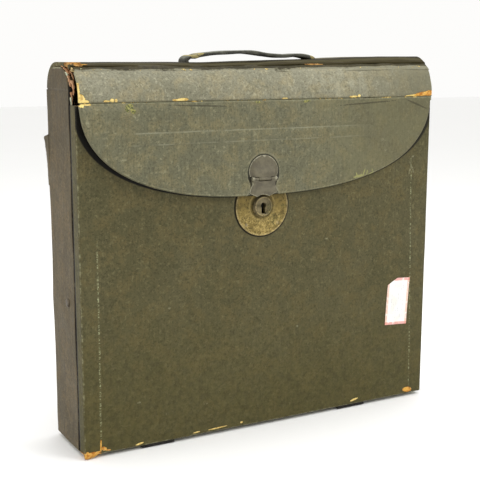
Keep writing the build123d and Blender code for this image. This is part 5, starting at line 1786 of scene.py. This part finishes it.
def grown(name, source, tree, body, slot, **values):
    """Runs a tree on a mesh and keeps the result as a plain mesh."""
    holder = bpy.data.objects.new(name, source)
    bpy.context.scene.collection.objects.link(holder)
    modifier = holder.modifiers.new(name, "NODES")
    modifier.node_group = tree
    for item in tree.interface.items_tree:
        key = item.name.replace(" ", "_")
        if item.in_out == "INPUT" and key in values:
            modifier[item.identifier] = values[key]
    bpy.context.view_layer.update()
    made = bpy.data.meshes.new_from_object(holder.evaluated_get(bpy.context.evaluated_depsgraph_get()))
    holder.modifiers.clear()
    made.name = name
    holder.data = made
    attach(holder, body)
    return holder


def loose_parts(node):
    """Low and high corners of each separate solid in a CAD node."""
    mesh = bmesh.new()
    mesh.from_mesh(frame["nodes"][node].data)
    bmesh.ops.remove_doubles(mesh, verts=mesh.verts, dist=2e-6)
    left, boxes = set(mesh.verts), []
    while left:
        part, edge = set(), [left.pop()]
        while edge:
            vertex = edge.pop()
            part.add(vertex)
            for link in vertex.link_edges:
                other = link.other_vert(vertex)
                if other in left:
                    left.discard(other)
                    edge.append(other)
        places = np.array([v.co for v in part])
        boxes.append((places.min(axis=0), places.max(axis=0)))
    mesh.free()
    return sorted(boxes, key=lambda box: tuple(np.round(box[0], 5)))


def point_mesh(name, places):
    mesh = bpy.data.meshes.new(name)
    mesh.from_pydata([tuple(map(float, place)) for place in places], [], [])
    return mesh


def pins_and_tacks():
    pins = loose_parts("lock_plate_pins")
    places = [((low[0] + high[0]) / 2, LOCK_LOW.y, (low[2] + high[2]) / 2) for low, high in pins]
    wide = (pins[0][1][0] - pins[0][0][0]) / 2
    rise = LOCK_LOW.y - pins[0][0][1]
    heads = grown("plate_pin_heads", point_mesh("pin_places", places), domed_pins(BRASS_DARK, (math.pi / 2, 0, 0)), "case", "brass",
                  Head_Radius=wide, Head_Rise=max(rise, 0.35 * MM), Shank_Radius=wide * 0.5, Shank_Length=pins[0][1][1] - LOCK_LOW.y)
    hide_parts("lock_plate_pins")
    tacks = loose_parts("foot_tacks")
    places = [((low[0] + high[0]) / 2, (low[1] + high[1]) / 2, low[2]) for low, high in tacks]
    wide = (tacks[0][1][0] - tacks[0][0][0]) / 2
    heads = grown("foot_tack_heads", point_mesh("tack_places", places), domed_pins(STEEL, (math.pi, 0, 0)), "case", "steel",
                  Head_Radius=wide * 0.95, Head_Rise=0.3 * MM, Shank_Radius=wide * 0.6, Shank_Length=tacks[0][1][2] - tacks[0][0][2])
    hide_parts("foot_tacks")


def frayed_fibres():
    """Fibres standing out of the torn corner and the split bottom corner."""
    for source, material, slot, density, length, seed in (
        ("corner_flake", OLD_STRAW, "board", 2.2e5, 2.2 * MM, 5),
        ("torn_rags", TORN_PINK, "board", 1.6e5, 2.0 * MM, 6),
    ):
        grown(f"{source}_fibres", bpy.data.objects[source].data.copy(), loose_fibres(material), "case", slot,
              Density=density, Length=length, Radius=0.11 * MM, Seed=seed)


# ---------------------------------------------------------------- stage, light and camera
def studio():
    size = 6.0
    floor = bpy.data.meshes.new("floor")
    floor.from_pydata([(-size, -size, 0), (size, -size, 0), (size, size, 0), (-size, size, 0)], [], [(0, 1, 2, 3)])
    floor.materials.append(plain("studio_floor", (0.925, 0.925, 0.918), 0.6))
    ground = bpy.data.objects.new("floor", floor)
    bpy.context.scene.collection.objects.link(ground)
    world = bpy.data.worlds.new("studio")
    world.use_nodes = True
    world.node_tree.nodes["Background"].inputs[0].default_value = (1.0, 0.995, 0.98, 1)
    world.node_tree.nodes["Background"].inputs[1].default_value = 0.985
    bpy.context.scene.world = world
    bpy.context.scene.view_settings.view_transform = "Standard"

    def softbox(name, place, aim, width, height, power, colour=(1, 1, 1)):
        light = bpy.data.lights.new(name, "AREA")
        light.shape = "RECTANGLE"
        light.size, light.size_y, light.energy, light.color = width, height, power, colour
        holder = bpy.data.objects.new(name, light)
        holder.location = place
        holder.rotation_euler = (Vector(aim) - Vector(place)).to_track_quat("-Z", "Y").to_euler()
        bpy.context.scene.collection.objects.link(holder)

    softbox("overhead", (0.1, -0.1, 1.5), (0, 0, 0.15), 1.2, 1.0, 11)
    softbox("left_fill", (-1.6, 0.1, 0.9), (0, 0, 0.15), 0.8, 0.8, 3.5, (1, 0.97, 0.93))
    softbox("right_key", (0.9, -1.2, 1.5), (0, 0, 0.15), 0.6, 0.6, 9)


def camera():
    """Camera from the left, a little above, looking slightly down."""
    yaw, pitch, roll = math.radians(29.057), math.radians(10.784), math.radians(-0.084)
    ahead = Vector((math.sin(yaw) * math.cos(pitch), math.cos(yaw) * math.cos(pitch), -math.sin(pitch)))
    right = Vector((math.cos(yaw), -math.sin(yaw), 0))
    up = right.cross(ahead)
    turned = Matrix.Rotation(roll, 3, ahead)
    right, up = turned @ right, turned @ up
    lens = bpy.data.cameras.new("camera")
    lens.lens = 72.13
    lens.sensor_width = 36.0
    lens.clip_start = 0.05
    holder = bpy.data.objects.new("camera", lens)
    basis = Matrix((right, up, -ahead)).transposed().to_4x4()
    place = Vector((-440.36 * MM, -739.62 * MM + FRONT_Y, 322.57 * MM + BASE_Z))
    holder.matrix_world = Matrix.Translation(place) @ basis
    bpy.context.scene.collection.objects.link(holder)
    bpy.context.scene.camera = holder


camera()
studio()
front_skin()
body_skin()
lid_skin()
band_skin()
fold_strips()
flap_skin()
flap_backing()
torn_corner()
corner_flake()
handle_strap()
lock_furniture()
hasp_pieces()
small_pieces()
torn_tab()
gussets()
lining_sheet("back_lining", "case", 1, -1)
lining_sheet("lid_lining", "lid", 2, -1, True)
label()
pins_and_tacks()
frayed_fibres()
